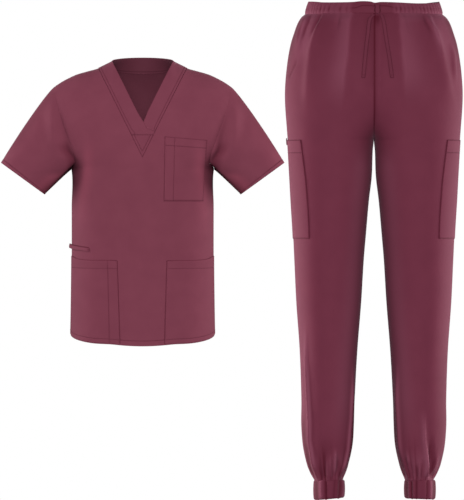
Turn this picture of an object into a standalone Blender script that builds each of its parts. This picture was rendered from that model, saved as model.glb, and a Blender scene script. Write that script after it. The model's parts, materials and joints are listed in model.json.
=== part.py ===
"""Medical scrubs: a V-neck top and cargo jogger trousers, both filled out and hollow.

+Z is up, and the wearer faces -Y. The tables are in millimetres, and MM turns them to metres.
The origin is at the middle of the top, level with its neck points, and the trousers hang
beside it. "left" and "right" are as seen from the front: left is at -X.

Each garment is first worked out as one outer skin of grids that share the points of their
seams. A point's normal is the mean over all the pieces that meet there, so the walls are
mitred at the seams, and each piece then draws back from its seams by half the seam gap.
"""
import bmesh
import bpy
from collections import namedtuple
from math import acos, cos, degrees, exp, pi, radians, sin, sqrt
from mathutils import Vector
from mathutils.bvhtree import BVHTree

MM = 0.001
SEAM_GAP = 0.3
# Each edge draws back by a little more than half the gap, as most of them meet at an angle.
EDGE_DRAW = 0.6 * SEAM_GAP
WALL = 2.0
PATCH_WALL = 1.5
PATCH_LIFT = 0.8
# A patch is kept clear of the flat faces of the panels that lie within this reach of it.
PATCH_REACH = 6.0
WELD_DISTANCE = 0.01
SAME_PLACE = 0.02
LEVEL_TOLERANCE = 0.05
LEFT, RIGHT = -1, 1
FRONT, BACK = -1, 1
SIDE_NAMES = {LEFT: "left", RIGHT: "right"}
FACE_NAMES = {FRONT: "front", BACK: "back"}

# --- the top -------------------------------------------------------------------------------

# Cross-sections of the body, an oval at each height: half its width, and how far its front
# and back stand from the plane of the side seams. Above the armholes the oval is wider than
# the cloth, which ends at the armhole.
BodySection = namedtuple("BodySection", "z half front back")
BODY = [
    BodySection(-622, 157.5, 121, 124), BodySection(-560, 156, 119, 120),
    BodySection(-435, 154.5, 118, 114), BodySection(-320, 154.5, 122, 116),
    BodySection(-237, 155, 126, 121), BodySection(-211, 172, 126, 123),
    BodySection(-185, 190, 126, 124), BodySection(-152, 206, 125, 124),
    BodySection(-120, 219, 124, 124), BodySection(-87, 228, 123, 123),
    BodySection(-59, 231, 122, 122), BodySection(20, 231, 120, 120),
]
BODY_POWER = 2.4
SHOULDER_POWER = {FRONT: 2.1, BACK: 2.2}

# The crest is the height where front and back meet over the shoulder. Between the neck
# points it is only the height that the back's curve aims at.
Crest = namedtuple("Crest", "x z")
CREST = [
    Crest(0, 14), Crest(30, 12), Crest(60, 2.5), Crest(75, -7), Crest(97, -17.2),
    Crest(120, -23.7), Crest(143, -30.4), Crest(160, -38), Crest(175, -46),
    Crest(187, -53.8), Crest(194, -59),
]

# The armhole's outline from the front: how far it is from the centre at each height.
Armhole = namedtuple("Armhole", "z x")
ARMHOLE = [
    Armhole(-237, 154.5), Armhole(-224, 146.5), Armhole(-205, 149), Armhole(-180, 157.5),
    Armhole(-150, 168.5), Armhole(-122, 178), Armhole(-99, 184.5), Armhole(-81, 188.8),
    Armhole(-68.5, 191.6), Armhole(-59, 194),
]

# Rows of the two panels from the armpit up: the height at the armhole, the height at the
# front's neck seam (at the centre line below the V), and at the back's centre line.
UpperRow = namedtuple("UpperRow", "armhole neck back")
UPPER = [
    UpperRow(-237, -237, -237), UpperRow(-224, -212, -213), UpperRow(-205, -187, -188),
    UpperRow(-180, -162.5, -162), UpperRow(-150, -128, -136), UpperRow(-122, -95, -111),
    UpperRow(-99, -66, -88), UpperRow(-81, -43, -68), UpperRow(-68.5, -27, -51),
    UpperRow(-61.2, -18.8, -38), UpperRow(-59, -16.2, -29),
]
LAST = len(UPPER) - 1
HEM_Z = -622
HEM_SIDE_RISE = 26
LOWER_ROWS = [-575, -510, -435, -370, -300]
FRONT_COLUMNS = 7
BACK_NECK_COLUMNS = 3

NECK_POINT_X, NECK_POINT_Z = 94.6, -16.2
V_POINT_Z = -212
BAND_WIDTH = 34
BAND_COLUMNS = 2
# The bands end at this upper row, and the plain inset goes on below them.
BAND_END_ROW = 3
# The left band laps over the right one. A row of the lap leaves the neck seam at one height
# and ends at the lap's edge, to the right of the centre line.
LapRow = namedtuple("LapRow", "seam_z end_x end_z")
LAP = [LapRow(-145.7, 2.6, -134.9), LapRow(-152, 10, -149.3), LapRow(-158, 27.4, -155.2)]
BACK_NECK_TOP_RISE = 8
BACK_NECK_TOP_DEPTH = 60

# The sleeve runs from the armhole to its hem: the hem's two ends, seen from the front.
SLEEVE_TIP = (306, -219.7)
SLEEVE_LOW = (214, -288.5)
SLEEVE_HEM_HALF_DEPTH = 57
SLEEVE_ROWS = [0, 0.1, 0.25, 0.42, 0.6, 0.8, 1]
# The curve along the sleeve leaves the armhole and reaches the hem at these slants, in
# degrees below level, with handles of these lengths.
Slant = namedtuple("Slant", "degrees handle")
SLEEVE_TOP_START, SLEEVE_TOP_END = Slant(41.2, 27.2), Slant(59.6, 60.5)
SLEEVE_UNDER_START, SLEEVE_UNDER_END = Slant(38, 20), Slant(43, 24)

# --- the top's patch pockets and loop ------------------------------------------------------

# The chest pocket, on the right: its corners by distance from the centre line and height.
ChestPocket = namedtuple(
    "ChestPocket", "inner_top inner_low outer_top outer_low top_in top_out low columns rows")
CHEST_POCKET = ChestPocket(45.5, 43.5, 139, 130, -163.5, -171, -303, 9, 5)
# The lower pockets run from the side seam to an inner edge, and down to the hem.
LowerPocket = namedtuple("LowerPocket", "side inner_top inner_low top_in top_side")
LOWER_POCKETS = [
    LowerPocket(LEFT, 55, 48, -436, -424), LowerPocket(RIGHT, 53.5, 47.5, -436.5, -424.5),
]
LOWER_POCKET_COLUMNS, LOWER_POCKET_ROWS = 11, 4
SIDE_SEAM_ANGLE = 3.0
POCKET_HEM_CLEARANCE = 2.5
# The loop stands proud at the side seam and lies flat at its other end.
LOOP_HEIGHT = 9.5
LOOP_END_X, LOOP_END_Z = 115, -411
LOOP_SIDE_Z, LOOP_SIDE_PROUD = -402.5, 5.0
LOOP_COLUMNS, LOOP_ROWS = 8, 2

# --- the trousers --------------------------------------------------------------------------

TROUSERS_X = 502.6
WAIST_Z = 99.4
FORK_TOP_Z = -40
CROTCH_Z = -172.5
THIGH_Z = -369.8
ANKLE_Z = -911.4

# The hips as one oval: half the width, and the depth of front and back.
HipSection = namedtuple("HipSection", "z half front back")
HIPS = [
    HipSection(99.4, 150, 98, 108), HipSection(93, 158, 102, 112),
    HipSection(80, 166, 107, 117), HipSection(60.9, 173, 112, 123),
    HipSection(34.8, 181, 117, 130), HipSection(-4.4, 188, 121, 138),
    HipSection(-56.6, 193, 123, 143), HipSection(-100, 193, 122, 142),
    HipSection(-172.5, 187.5, 117, 133), HipSection(-252.3, 182.8, 108, 121),
    HipSection(-304.5, 180, 101, 111), HipSection(-369.8, 176, 94, 101),
]
HIP_POWER = 2.2
# The legs: the outer and inner edge from the trousers' centre line, and the depths.
LegSection = namedtuple("LegSection", "z outer inner front back")
LEGS = [
    LegSection(-40, 193.5, 0, 116, 132), LegSection(-172.5, 187.5, 0, 112, 124),
    LegSection(-196, 186, 2.2, 109, 120), LegSection(-252.3, 182.8, 4.4, 104, 114),
    LegSection(-304.5, 180, 10.6, 99, 108), LegSection(-369.8, 176, 16.3, 94, 101),
    LegSection(-435, 172.9, 21.8, 88, 93), LegSection(-526.4, 168.6, 27.4, 81, 84),
    LegSection(-630.8, 161.2, 35.7, 75, 79), LegSection(-739.5, 157.6, 41.6, 68, 74),
    LegSection(-787.4, 158, 43, 65, 71), LegSection(-826.5, 155.6, 45, 62, 67),
    LegSection(-852.6, 151.8, 49, 59, 63), LegSection(-878.7, 144.8, 56, 53, 56),
    LegSection(-891.8, 139.4, 60.5, 48, 50), LegSection(-904.8, 132.8, 66, 43, 44),
    LegSection(-911.4, 129.6, 67.6, 41, 42),
]
LEG_POWER = 2.15
# The hips' oval turns into the legs between the fork's top and the thigh, first at the
# centre line: the higher this power, the nearer to the centre line the early turn stays.
INNER_POWER = 5
HIP_ROWS = [99.4, 88, 72, 50, 20, -20, -60, -98, -128, -150, -164, -172.5]
LEG_ROWS = [-195, -245, -310, -385, -480, -580, -690, -775, -826, -860, -882, -898, -911.4]
LEG_COLUMNS = 16

# Folds below the waistband: where a ridge (or a trough, with a negative height) starts and
# ends, by its distance from the centre line, with its width and height.
Fold = namedtuple("Fold", "side face top_x top_z low_x low_z width height")
FOLDS = [
    Fold(LEFT, FRONT, 136, 99, 165, 20, 10, 4), Fold(LEFT, FRONT, 108, 99, 132, 25, 9, 4.5),
    Fold(LEFT, FRONT, 60, 99, 88, -90, 18, 5), Fold(LEFT, FRONT, 84, 99, 106, 0, 12, -4),
    Fold(RIGHT, FRONT, 65, 99, 86, -80, 18, 5), Fold(RIGHT, FRONT, 124, 99, 162, -30, 10, 5),
    Fold(RIGHT, FRONT, 108, 99, 130, -20, 10, -4.5),
    Fold(RIGHT, FRONT, 150, 80, 178, -45, 10, 3.5),
    Fold(LEFT, BACK, 50, 99, 75, -60, 16, 4.5), Fold(LEFT, BACK, 96, 99, 120, -20, 13, 4.5),
    Fold(LEFT, BACK, 132, 99, 160, 10, 10, 4), Fold(RIGHT, BACK, 42, 99, 62, -70, 16, 4.5),
    Fold(RIGHT, BACK, 90, 99, 116, -30, 13, 4.5), Fold(RIGHT, BACK, 130, 99, 158, 0, 10, 4),
]
# A fold dies away over this part of its length, and the folds stay off the seams by these
# shares of a panel's width.
FOLD_FADE = 0.8
FOLD_SIDE_MARGIN, FOLD_CENTRE_MARGIN = 0.12, 0.08
# Gathers above each cuff: waves round each half of the leg, and how far up they reach.
ANKLE_WAVES = 4
ANKLE_WAVE_HEIGHT = 2.6
ANKLE_WAVE_REACH = 62

# The waistband and the cuffs are closed rings with gathers of slightly uneven height.
WAVE_POINTS = 4
UNEVEN_SHARE, UNEVEN_WAVES = 0.2, 5
WAISTBAND_LOW_Z = WAIST_Z + SEAM_GAP
WAISTBAND_WALL = 2.2
WAISTBAND_FLAT_HALF = 47
WAIST_WAVES, WAIST_WAVE_HEIGHT = 38, 1.7
# The waistband's rows: height above its lower edge, how much wider than the top of the
# trousers it is there, and how strong its gathers are.
BandRow = namedtuple("BandRow", "rise out wave")
WAISTBAND_ROWS = [
    BandRow(0, -0.3, 1), BandRow(9, -1.6, 0.7), BandRow(18.5, -4.6, 0.7), BandRow(26.8, -7.8, 1),
]
CUFF_CENTRE_X = 98.6
CUFF_WALL = 2.4
CUFF_WAVES, CUFF_WAVE_HEIGHT = 15, 1.5
CuffRow = namedtuple("CuffRow", "z half depth wave")
CUFF_ROWS = [
    CuffRow(-911.7, 30, 39.5, 0.5), CuffRow(-917, 33.2, 41.6, 1),
    CuffRow(-948, 33.2, 41.6, 1), CuffRow(-953.4, 31, 39.8, 0.6),
]

# The cargo pockets wrap round the side seams: their reach on the front and on the back is
# measured along the cloth. The tab sits above the left one.
CARGO_TOP_Z, CARGO_LOW_Z = -173, -388
CARGO_FRONT_REACH, CARGO_BACK_REACH = 92, 84
CARGO_COLUMNS, CARGO_ROWS = 13, 6
CARGO_LIFT = 1.0
TAB_TOP_Z, TAB_LOW_Z = -169, -184
TAB_FRONT_SHARE, TAB_BACK_SHARE = 0.03, 0.05
TAB_COLUMNS, TAB_ROWS = 2, 2
TAB_WALL, TAB_LIFT = 1.8, 3.4

# The drawstring is a flat tape with two bare ends, which hang from a flat knot.
KNOT_HALF_WIDTH, KNOT_THICKNESS, KNOT_LIFT, KNOT_EDGE = 6.2, 4.0, 1.25, 1.5
KNOT_TOP_Z, KNOT_LOW_Z = 120.5, 101.2
TAPE_WIDTH, TAPE_THICKNESS, TAPE_LIFT = 8.5, 1.4, 0.7
TAPE_ROWS = 12
TapePoint = namedtuple("TapePoint", "x z")
TAPES = {
    LEFT: [TapePoint(-1.5, 98.4), TapePoint(-9.5, 89), TapePoint(-13.5, 60),
           TapePoint(-18.5, 20), TapePoint(-24, -39)],
    RIGHT: [TapePoint(15.5, 98.4), TapePoint(20, 85), TapePoint(25.5, 48),
            TapePoint(32, 8), TapePoint(38.5, -39)],
}

CLOTH_COLOUR = (0.195, 0.044, 0.075, 1.0)
NECK_COLOUR = (0.17, 0.038, 0.066, 1.0)
TAPE_COLOUR = (0.14, 0.030, 0.052, 1.0)
CLOTH_ROUGHNESS = 0.85


# --- small mathematics ---------------------------------------------------------------------

def follow(rows, column, at, by="z"):
    """Smooth value of a table's column at a value of another column."""
    points = sorted((getattr(row, by), getattr(row, column)) for row in rows)
    if at <= points[0][0]:
        return points[0][1]
    if at >= points[-1][0]:
        return points[-1][1]
    i = max(k for k in range(len(points) - 1) if points[k][0] <= at)

    def slope(k):
        low, high = max(k - 1, 0), min(k + 1, len(points) - 1)
        return (points[high][1] - points[low][1]) / (points[high][0] - points[low][0])

    (x0, y0), (x1, y1) = points[i], points[i + 1]
    span = x1 - x0
    t = (at - x0) / span
    start, end = slope(i) * span, slope(i + 1) * span
    return ((2 * t ** 3 - 3 * t ** 2 + 1) * y0 + (t ** 3 - 2 * t ** 2 + t) * start
            + (3 * t ** 2 - 2 * t ** 3) * y1 + (t ** 3 - t ** 2) * end)


def mix(a, b, t):
    return a + (b - a) * t


def ease(t):
    """0 to 1 with a soft start and end."""
    t = min(max(t, 0.0), 1.0)
    return t * t * (3 - 2 * t)


def oval(angle, power):
    """Unit oval at an angle in degrees: how far across, and how deep."""
    across, deep = cos(radians(angle)), sin(radians(angle))
    return abs(across) ** (2 / power) * (1 if across >= 0 else -1), abs(deep) ** (2 / power)


def oval_angle(across, power):
    """The angle at which the unit oval is that far across."""
    return degrees(acos(min(max(across, 0.0), 1.0) ** (power / 2)))


# --- the top's surface ---------------------------------------------------------------------

def body_depth(face, x, z, angle):
    """How far the cloth stands from the plane of the side seams."""
    deep = oval(angle, BODY_POWER)[1] * follow(BODY, FACE_NAMES[face], z)
    armpit = ARMHOLE[0].z
    if z <= armpit:
        return deep
    power = SHOULDER_POWER[face]
    climb = min((z - armpit) / (follow(CREST, "z", x, by="x") - armpit), 1.0)
    return deep * (1 - climb ** power) ** (1 / power)


def body_point(side, face, angle, z):
    """A point of the top's body: angle 0 is the side, 90 the centre line."""
    x = oval(angle, BODY_POWER)[0] * follow(BODY, "half", z)
    return Vector((side * x, face * body_depth(face, x, z, angle), z)) * MM


def body_angle(x, z):
    """The angle of the body's oval at a distance x from the centre line."""
    return oval_angle(x / follow(BODY, "half", z), BODY_POWER)


def chest_point(x, z):
    """The front's surface at a signed distance x from the centre line."""
    return body_point(RIGHT if x >= 0 else LEFT, FRONT, body_angle(abs(x), z), z)


def hem_height(angle):
    return HEM_Z + HEM_SIDE_RISE * (1 - oval(angle, BODY_POWER)[1])


def neck_seam_x(z):
    """Distance of the front's straight neck seam from the centre line, 0 below the V."""
    return max(NECK_POINT_X * (z - V_POINT_Z) / (NECK_POINT_Z - V_POINT_Z), 0)


def armhole_start(k):
    """Where an upper row leaves the armhole, as an angle and a height."""
    z = UPPER[k].armhole
    return (body_angle(follow(ARMHOLE, "x", z), z) if k else 0, z)


def top_rise(face, t):
    """How far a panel's top edge lies above the straight line between its two ends."""
    top = UPPER[LAST]
    neck_x, neck_z = (NECK_POINT_X, top.neck) if face == FRONT else (0, top.back)
    start = body_angle(ARMHOLE[-1].x, top.armhole)
    angle, line = mix(start, body_angle(neck_x, neck_z), t), mix(top.armhole, neck_z, t)
    x = oval(angle, BODY_POWER)[0] * follow(BODY, "half", line)
    if x >= NECK_POINT_X:
        return follow(CREST, "z", x, by="x") - line
    return mix(top.back, NECK_POINT_Z, (x / NECK_POINT_X) ** 2) - line if face == BACK else 0


def panel_row(side, face, start, end, columns, rise=0.0):
    """A row between two (angle, height) ends, bowed up by a part of the top edge's rise."""
    row = []
    for i in range(columns + 1):
        t = i / columns
        z = mix(start[1], end[1], t) + rise * top_rise(face, t)
        row.append(body_point(side, face, mix(start[0], end[0], t), z))
    return row


def lower_rows(side, face, columns):
    """The rows of half a panel below the armpit, the curved hem first."""
    angles = [90 * i / columns for i in range(columns + 1)]
    rows = [[body_point(side, face, angle, hem_height(angle)) for angle in angles]]
    return rows + [panel_row(side, face, (0, z), (90, z), columns) for z in LOWER_ROWS]


def front_half(side):
    """The rows of one half of the front, from the hem to the shoulder seam."""
    rows = lower_rows(side, FRONT, FRONT_COLUMNS)
    for k, row in enumerate(UPPER):
        end = (body_angle(neck_seam_x(row.neck), row.neck), row.neck)
        rise = ease(k / LAST)
        rows.append(panel_row(side, FRONT, armhole_start(k), end, FRONT_COLUMNS, rise))
    return rows


def back_half(side):
    """The rows of one half of the back: its top row is the front's and then the neck seam."""
    columns = FRONT_COLUMNS + BACK_NECK_COLUMNS
    rows = lower_rows(side, BACK, columns)
    for k, row in enumerate(UPPER[:LAST]):
        rise = ease(k / LAST)
        rows.append(panel_row(side, BACK, armhole_start(k), (90, row.back), columns, rise))
    neck = [back_neck_seam(side, i / BACK_NECK_COLUMNS) for i in range(1, BACK_NECK_COLUMNS + 1)]
    return rows + [front_half(side)[-1] + neck]


def back_neck_seam(side, t):
    """The back's neck seam: t is 0 at the shoulder and 1 at the centre line."""
    x = NECK_POINT_X * (1 - t)
    z = mix(UPPER[LAST].back, NECK_POINT_Z, (1 - t) ** 2)
    return body_point(side, BACK, body_angle(x, z), z)


def armhole_point(side, face, k):
    """A point of the armhole at one of the upper rows."""
    angle, z = armhole_start(k)
    if k < LAST:
        return body_point(side, face, angle, z)
    return Vector((side * ARMHOLE[-1].x, 0, z)) * MM


def slanted(side, start, end, share):
    """A curve handle, outwards and down, between the top's slant and the underside's."""
    turn = radians(mix(start.degrees, end.degrees, share))
    return Vector((side * cos(turn), 0, -sin(turn))) * mix(start.handle, end.handle, share) * MM


def sleeve_point(side, face, k, along):
    """A point of the sleeve: k is the armhole's row, along is 0 there and 1 at the hem."""
    turn = pi * (1 - k / LAST)
    under = (1 - cos(turn)) / 2
    start = armhole_point(side, face, k)
    hem = Vector((side * mix(SLEEVE_TIP[0], SLEEVE_LOW[0], under),
                  face * SLEEVE_HEM_HALF_DEPTH * sin(turn),
                  mix(SLEEVE_TIP[1], SLEEVE_LOW[1], under))) * MM
    out = slanted(side, SLEEVE_TOP_START, SLEEVE_UNDER_START, under)
    back = slanted(side, SLEEVE_TOP_END, SLEEVE_UNDER_END, under)
    t, rest = along, 1 - along
    return (rest ** 3 * start + 3 * t * rest ** 2 * (start + out)
            + 3 * t ** 2 * rest * (hem - back) + t ** 3 * hem)


def sleeve_ring(side, along):
    """A closed ring of the sleeve, down its front from the shoulder and up its back."""
    front = [sleeve_point(side, FRONT, k, along) for k in range(LAST, -1, -1)]
    back = [sleeve_point(side, BACK, k, along) for k in range(1, LAST)]
    return front + back


def band_rows(side):
    """Rows of a front neckband: from the neck seam to the band's free edge."""
    run = Vector((NECK_POINT_X, NECK_POINT_Z - V_POINT_Z)).normalized()
    across = Vector((-run.y, run.x)) * BAND_WIDTH
    ends = []
    for row in UPPER[:BAND_END_ROW:-1]:
        seam = Vector((neck_seam_x(row.neck), row.neck))
        ends.append((seam, seam + across))
    on_seam = [Vector((neck_seam_x(row.seam_z), row.seam_z)) for row in LAP]
    if side == LEFT:
        ends += [(seam, Vector((-row.end_x, row.end_z))) for seam, row in zip(on_seam, LAP)]
        last = UPPER[BAND_END_ROW].neck
        ends.append((Vector((neck_seam_x(last), last)), Vector((-neck_seam_x(last), last))))
    else:
        first, middle, end = [Vector((row.end_x, row.end_z)) for row in LAP]
        ends += [(on_seam[0], first), (end, middle)]
    rows = []
    for seam, free in ends:
        places = [seam.lerp(free, i / BAND_COLUMNS) for i in range(BAND_COLUMNS + 1)]
        rows.append([chest_point(side * place.x, place.y) for place in places])
    return rows


def back_band_rows(side):
    """Half of the back neckband, from the shoulder to the centre line."""
    run = Vector((NECK_POINT_X, NECK_POINT_Z - V_POINT_Z)).normalized()
    top_x = NECK_POINT_X - run.y * BAND_WIDTH
    top_z = NECK_POINT_Z + run.x * BAND_WIDTH
    rows = []
    for i in range(BACK_NECK_COLUMNS + 1):
        turn = radians(90 * i / BACK_NECK_COLUMNS)
        low = back_neck_seam(side, i / BACK_NECK_COLUMNS)
        high = Vector((side * top_x * cos(turn), BACK_NECK_TOP_DEPTH * sin(turn),
                       top_z + BACK_NECK_TOP_RISE * sin(turn))) * MM
        rows.append([low.lerp(high, j / BAND_COLUMNS) for j in range(BAND_COLUMNS + 1)])
    return rows


def inset_rows():
    """The plain triangle below the bands, down to the point of the V."""
    rows = []
    for row in UPPER[BAND_END_ROW:0:-1]:
        rows.append([chest_point(side * neck_seam_x(row.neck), row.neck) for side in (-1, 0, 1)])
    return rows


# --- the trousers' surface -----------------------------------------------------------------

def folds_at(side, face, x, z):
    """Sum of the folds' heights at a place on the hips."""
    height = 0.0
    for fold in FOLDS:
        along = (fold.top_z - z) / (fold.top_z - fold.low_z)
        if (fold.side, fold.face) != (side, face) or along > 1:
            continue
        off = (x - mix(fold.top_x, fold.low_x, max(along, 0))) / fold.width
        fade = 1 - ease((along - 1 + FOLD_FADE) / FOLD_FADE)
        height += fold.height * exp(-off * off) * fade
    return height


def ankle_wave(angle, z):
    """Gathers above the cuff: angle runs from 0 at the outer seam to 180 at the inner."""
    reach = ease(1 - (z - ANKLE_Z) / ANKLE_WAVE_REACH)
    return ANKLE_WAVE_HEIGHT * reach * cos(radians(angle) * 2 * ANKLE_WAVES)


def leg_point(side, face, share, z):
    """A point of the trousers: share is 0 at the outer seam, 1 at the centre or inner seam."""
    outer, inner = follow(LEGS, "outer", z), follow(LEGS, "inner", z)
    across, depth = oval(180 * share, LEG_POWER)
    centre, half = (outer + inner) / 2, (outer - inner) / 2
    wave = 1 + ankle_wave(180 * share, z) / half
    deep = follow(LEGS, FACE_NAMES[face], z)
    leg = Vector((centre + half * across * wave, deep * depth * wave))
    if z > THIGH_Z:
        across, depth = oval(90 * share, HIP_POWER)
        half, deep = follow(HIPS, "half", z), follow(HIPS, FACE_NAMES[face], z)
        hip = Vector((half * across, deep * depth))
        fork = min(max((FORK_TOP_Z - z) / (FORK_TOP_Z - CROTCH_Z), 0), 1)
        inner_turn = 1 - sqrt(1 - fork * fork)
        outer_turn = ease((FORK_TOP_Z - z) / (FORK_TOP_Z - THIGH_Z))
        leg = hip.lerp(leg, mix(outer_turn, inner_turn, share ** INNER_POWER))
        margins = ease(share / FOLD_SIDE_MARGIN) * ease((1 - share) / FOLD_CENTRE_MARGIN)
        outward = Vector((leg.x / half ** 2, leg.y / deep ** 2)).normalized()
        leg += outward * folds_at(side, face, leg.x, z) * margins
    if share == 1 and z >= CROTCH_Z:
        leg.x = 0
    if share == 0 or (share == 1 and z <= CROTCH_Z):
        leg.y = 0
    return Vector((TROUSERS_X + side * leg.x, face * leg.y, z)) * MM


def trouser_rows(side, face):
    shares = [i / LEG_COLUMNS for i in range(LEG_COLUMNS + 1)]
    return [[leg_point(side, face, share, z) for share in shares] for z in HIP_ROWS + LEG_ROWS]


def gather(turn, count):
    """Gathers of slightly uneven height: turn is 0 to 1 all round."""
    uneven = 1 - UNEVEN_SHARE + UNEVEN_SHARE * sin(2 * pi * turn * UNEVEN_WAVES + 1)
    return uneven * cos(2 * pi * turn * count)


def waistband_ring(row):
    """A ring of the waistband, flat at its centre front and gathered elsewhere."""
    count = WAIST_WAVES * WAVE_POINTS
    ring = []
    for i in range(count):
        turn = i / count
        face = BACK if turn < 0.5 else FRONT
        across, deep = oval(360 * turn, HIP_POWER)
        x = (HIPS[0].half + row.out) * across
        y = face * (getattr(HIPS[0], FACE_NAMES[face]) + row.out) * deep
        flat = face == FRONT and abs(x) < WAISTBAND_FLAT_HALF
        height = 0 if flat else WAIST_WAVE_HEIGHT * row.wave * gather(turn, WAIST_WAVES)
        x, y = Vector((x, y)) + Vector((x, y)).normalized() * height
        ring.append(Vector((TROUSERS_X + x, y, WAISTBAND_LOW_Z + row.rise)) * MM)
    return ring


def cuff_ring(side, row):
    count = CUFF_WAVES * WAVE_POINTS
    ring = []
    for i in range(count):
        turn = 2 * pi * i / count
        height = CUFF_WAVE_HEIGHT * (row.wave * gather(i / count, CUFF_WAVES) - 1)
        x, y = (row.half + height) * cos(turn), (row.depth + height) * sin(turn)
        ring.append(Vector((TROUSERS_X + side * CUFF_CENTRE_X + x, y, row.z)) * MM)
    return ring


# --- from grids to pieces ------------------------------------------------------------------

def sheet(grids, closed=False):
    """A bmesh of one or more grids of points, welded where they share points."""
    bm = bmesh.new()
    for rows in grids:
        verts = [[bm.verts.new(point) for point in row] for row in rows]
        for low, high in zip(verts, verts[1:]):
            for i in range(len(low) if closed else len(low) - 1):
                j = (i + 1) % len(low)
                bm.faces.new((low[i], low[j], high[j], high[i]))
    bmesh.ops.remove_doubles(bm, verts=bm.verts, dist=WELD_DISTANCE * MM)
    bmesh.ops.recalc_face_normals(bm, faces=bm.faces)
    return bm


def turn_out(bm, axis):
    """Make an open sheet's faces point away from an axis, a function of a point."""
    bm.normal_update()
    facing = 0.0
    for face in bm.faces:
        middle = face.calc_center_median()
        facing += (middle - axis(middle)).dot(face.normal) * face.calc_area()
    if facing < 0:
        bmesh.ops.reverse_faces(bm, faces=bm.faces)
    bm.normal_update()


def place_key(point):
    return tuple(round(c / (SAME_PLACE * MM)) for c in point)


def shared_normals(sheets):
    """The mean normal at each point, over all the pieces that meet there."""
    sums = {}
    for bm in sheets:
        for face in bm.faces:
            for vert in face.verts:
                key = place_key(vert.co)
                sums[key] = sums.get(key, Vector()) + face.normal * face.calc_area()
    return sums


def is_level(point, heights):
    return any(abs(point.z - z * MM) < LEVEL_TOLERANCE * MM for z in heights)


def make_wall(bm, normals, thickness, level_edges=()):
    """Give a sheet its thickness, inwards if positive, and draw its edges back.

    The edges at the heights level_edges stay level.
    """
    step = bm.verts.layers.float_vector.new("step")
    moves = {}
    for vert in bm.verts:
        normal = normals[place_key(vert.co)].copy()
        level = is_level(vert.co, level_edges)
        if level:
            normal.z = 0
        vert[step] = normal.normalized() * -thickness * MM
        if vert.is_boundary:
            middles = [face.calc_center_median() for face in vert.link_faces]
            move = sum(middles, Vector()) / len(middles) - vert.co
            move = move.normalized() * EDGE_DRAW * MM
            moves[vert] = Vector((0, 0, move.z)) if level else move
    for vert, move in moves.items():
        vert.co += move
    made = bmesh.ops.extrude_face_region(bm, geom=bm.faces[:])["geom"]
    for vert in (item for item in made if isinstance(item, bmesh.types.BMVert)):
        vert.co += vert[step]
    bmesh.ops.recalc_face_normals(bm, faces=bm.faces)


def material(name, colour):
    made = bpy.data.materials.new(name)
    made.use_nodes = True
    shader = made.node_tree.nodes["Principled BSDF"]
    shader.inputs["Base Color"].default_value = colour
    shader.inputs["Roughness"].default_value = CLOTH_ROUGHNESS
    shader.inputs["Metallic"].default_value = 0.0
    return made


def finish(name, bm, colour=CLOTH_COLOUR):
    bmesh.ops.triangulate(bm, faces=bm.faces)
    mesh = bpy.data.meshes.new(name)
    bm.to_mesh(mesh)
    bm.free()
    mesh.shade_smooth()
    mesh.materials.append(material(name + "_cloth", colour))
    bpy.context.collection.objects.link(bpy.data.objects.new(name, mesh))


def body_axis(point):
    return Vector((0, 0, point.z))


def trousers_axis(point):
    return Vector((TROUSERS_X * MM, 0, point.z))


def leg_axis(side):
    return lambda point: Vector(((TROUSERS_X + side * CUFF_CENTRE_X) * MM, 0, point.z))


def stand_out(point, normal, skins):
    """How far the flat faces of the skins below stand out of the smooth surface."""
    out = 0.0
    for skin in skins:
        place, _, _, distance = skin.find_nearest(point)
        if distance < PATCH_REACH * MM:
            out = max(out, (place - point).dot(normal))
    return out


def patch(name, surface, axis, columns, rows, lift, thickness, skins=(), colour=CLOTH_COLOUR):
    """A piece that lies on a panel: surface(u, v) is the panel's point, moved out by lift."""
    step = 0.02
    grid, normals = [], {}
    for j in range(rows + 1):
        row = []
        for i in range(columns + 1):
            u, v = i / columns, j / rows
            point = surface(u, v)
            along_u = surface(min(u + step, 1), v) - surface(max(u - step, 0), v)
            along_v = surface(u, min(v + step, 1)) - surface(u, max(v - step, 0))
            normal = along_u.cross(along_v).normalized()
            if normal.dot(point - axis(point)) < 0:
                normal.negate()
            point = point + normal * (lift * MM + stand_out(point, normal, skins))
            row.append(point)
            normals[place_key(point)] = normal
        grid.append(row)
    bm = sheet([grid])
    make_wall(bm, normals, -thickness)
    finish(name, bm, colour)


# --- the pieces ----------------------------------------------------------------------------

def build_top():
    sheets = {
        "top_front": sheet([front_half(LEFT), front_half(RIGHT)]),
        "top_back": sheet([back_half(LEFT), back_half(RIGHT)]),
        "neckband_front_left": sheet([band_rows(LEFT)]),
        "neckband_front_right": sheet([band_rows(RIGHT)]),
        "neckband_back": sheet([back_band_rows(LEFT), back_band_rows(RIGHT)]),
        "neck_inset": sheet([inset_rows()]),
    }
    for bm in sheets.values():
        turn_out(bm, body_axis)
    for side in (LEFT, RIGHT):
        sleeve = sheet([[sleeve_ring(side, along) for along in SLEEVE_ROWS]], closed=True)
        over, under = [sleeve_point(side, FRONT, k, 0.5) for k in (LAST, 0)]
        turn_out(sleeve, lambda point, middle=(over + under) / 2: middle)
        sheets["sleeve_" + SIDE_NAMES[side]] = sleeve
    normals = shared_normals(sheets.values())
    skins = [BVHTree.FromBMesh(sheets["top_front"])]
    for name, bm in sheets.items():
        make_wall(bm, normals, WALL)
        finish(name, bm, NECK_COLOUR if name.startswith("neck") else CLOTH_COLOUR)
    build_top_patches(skins)


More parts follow.
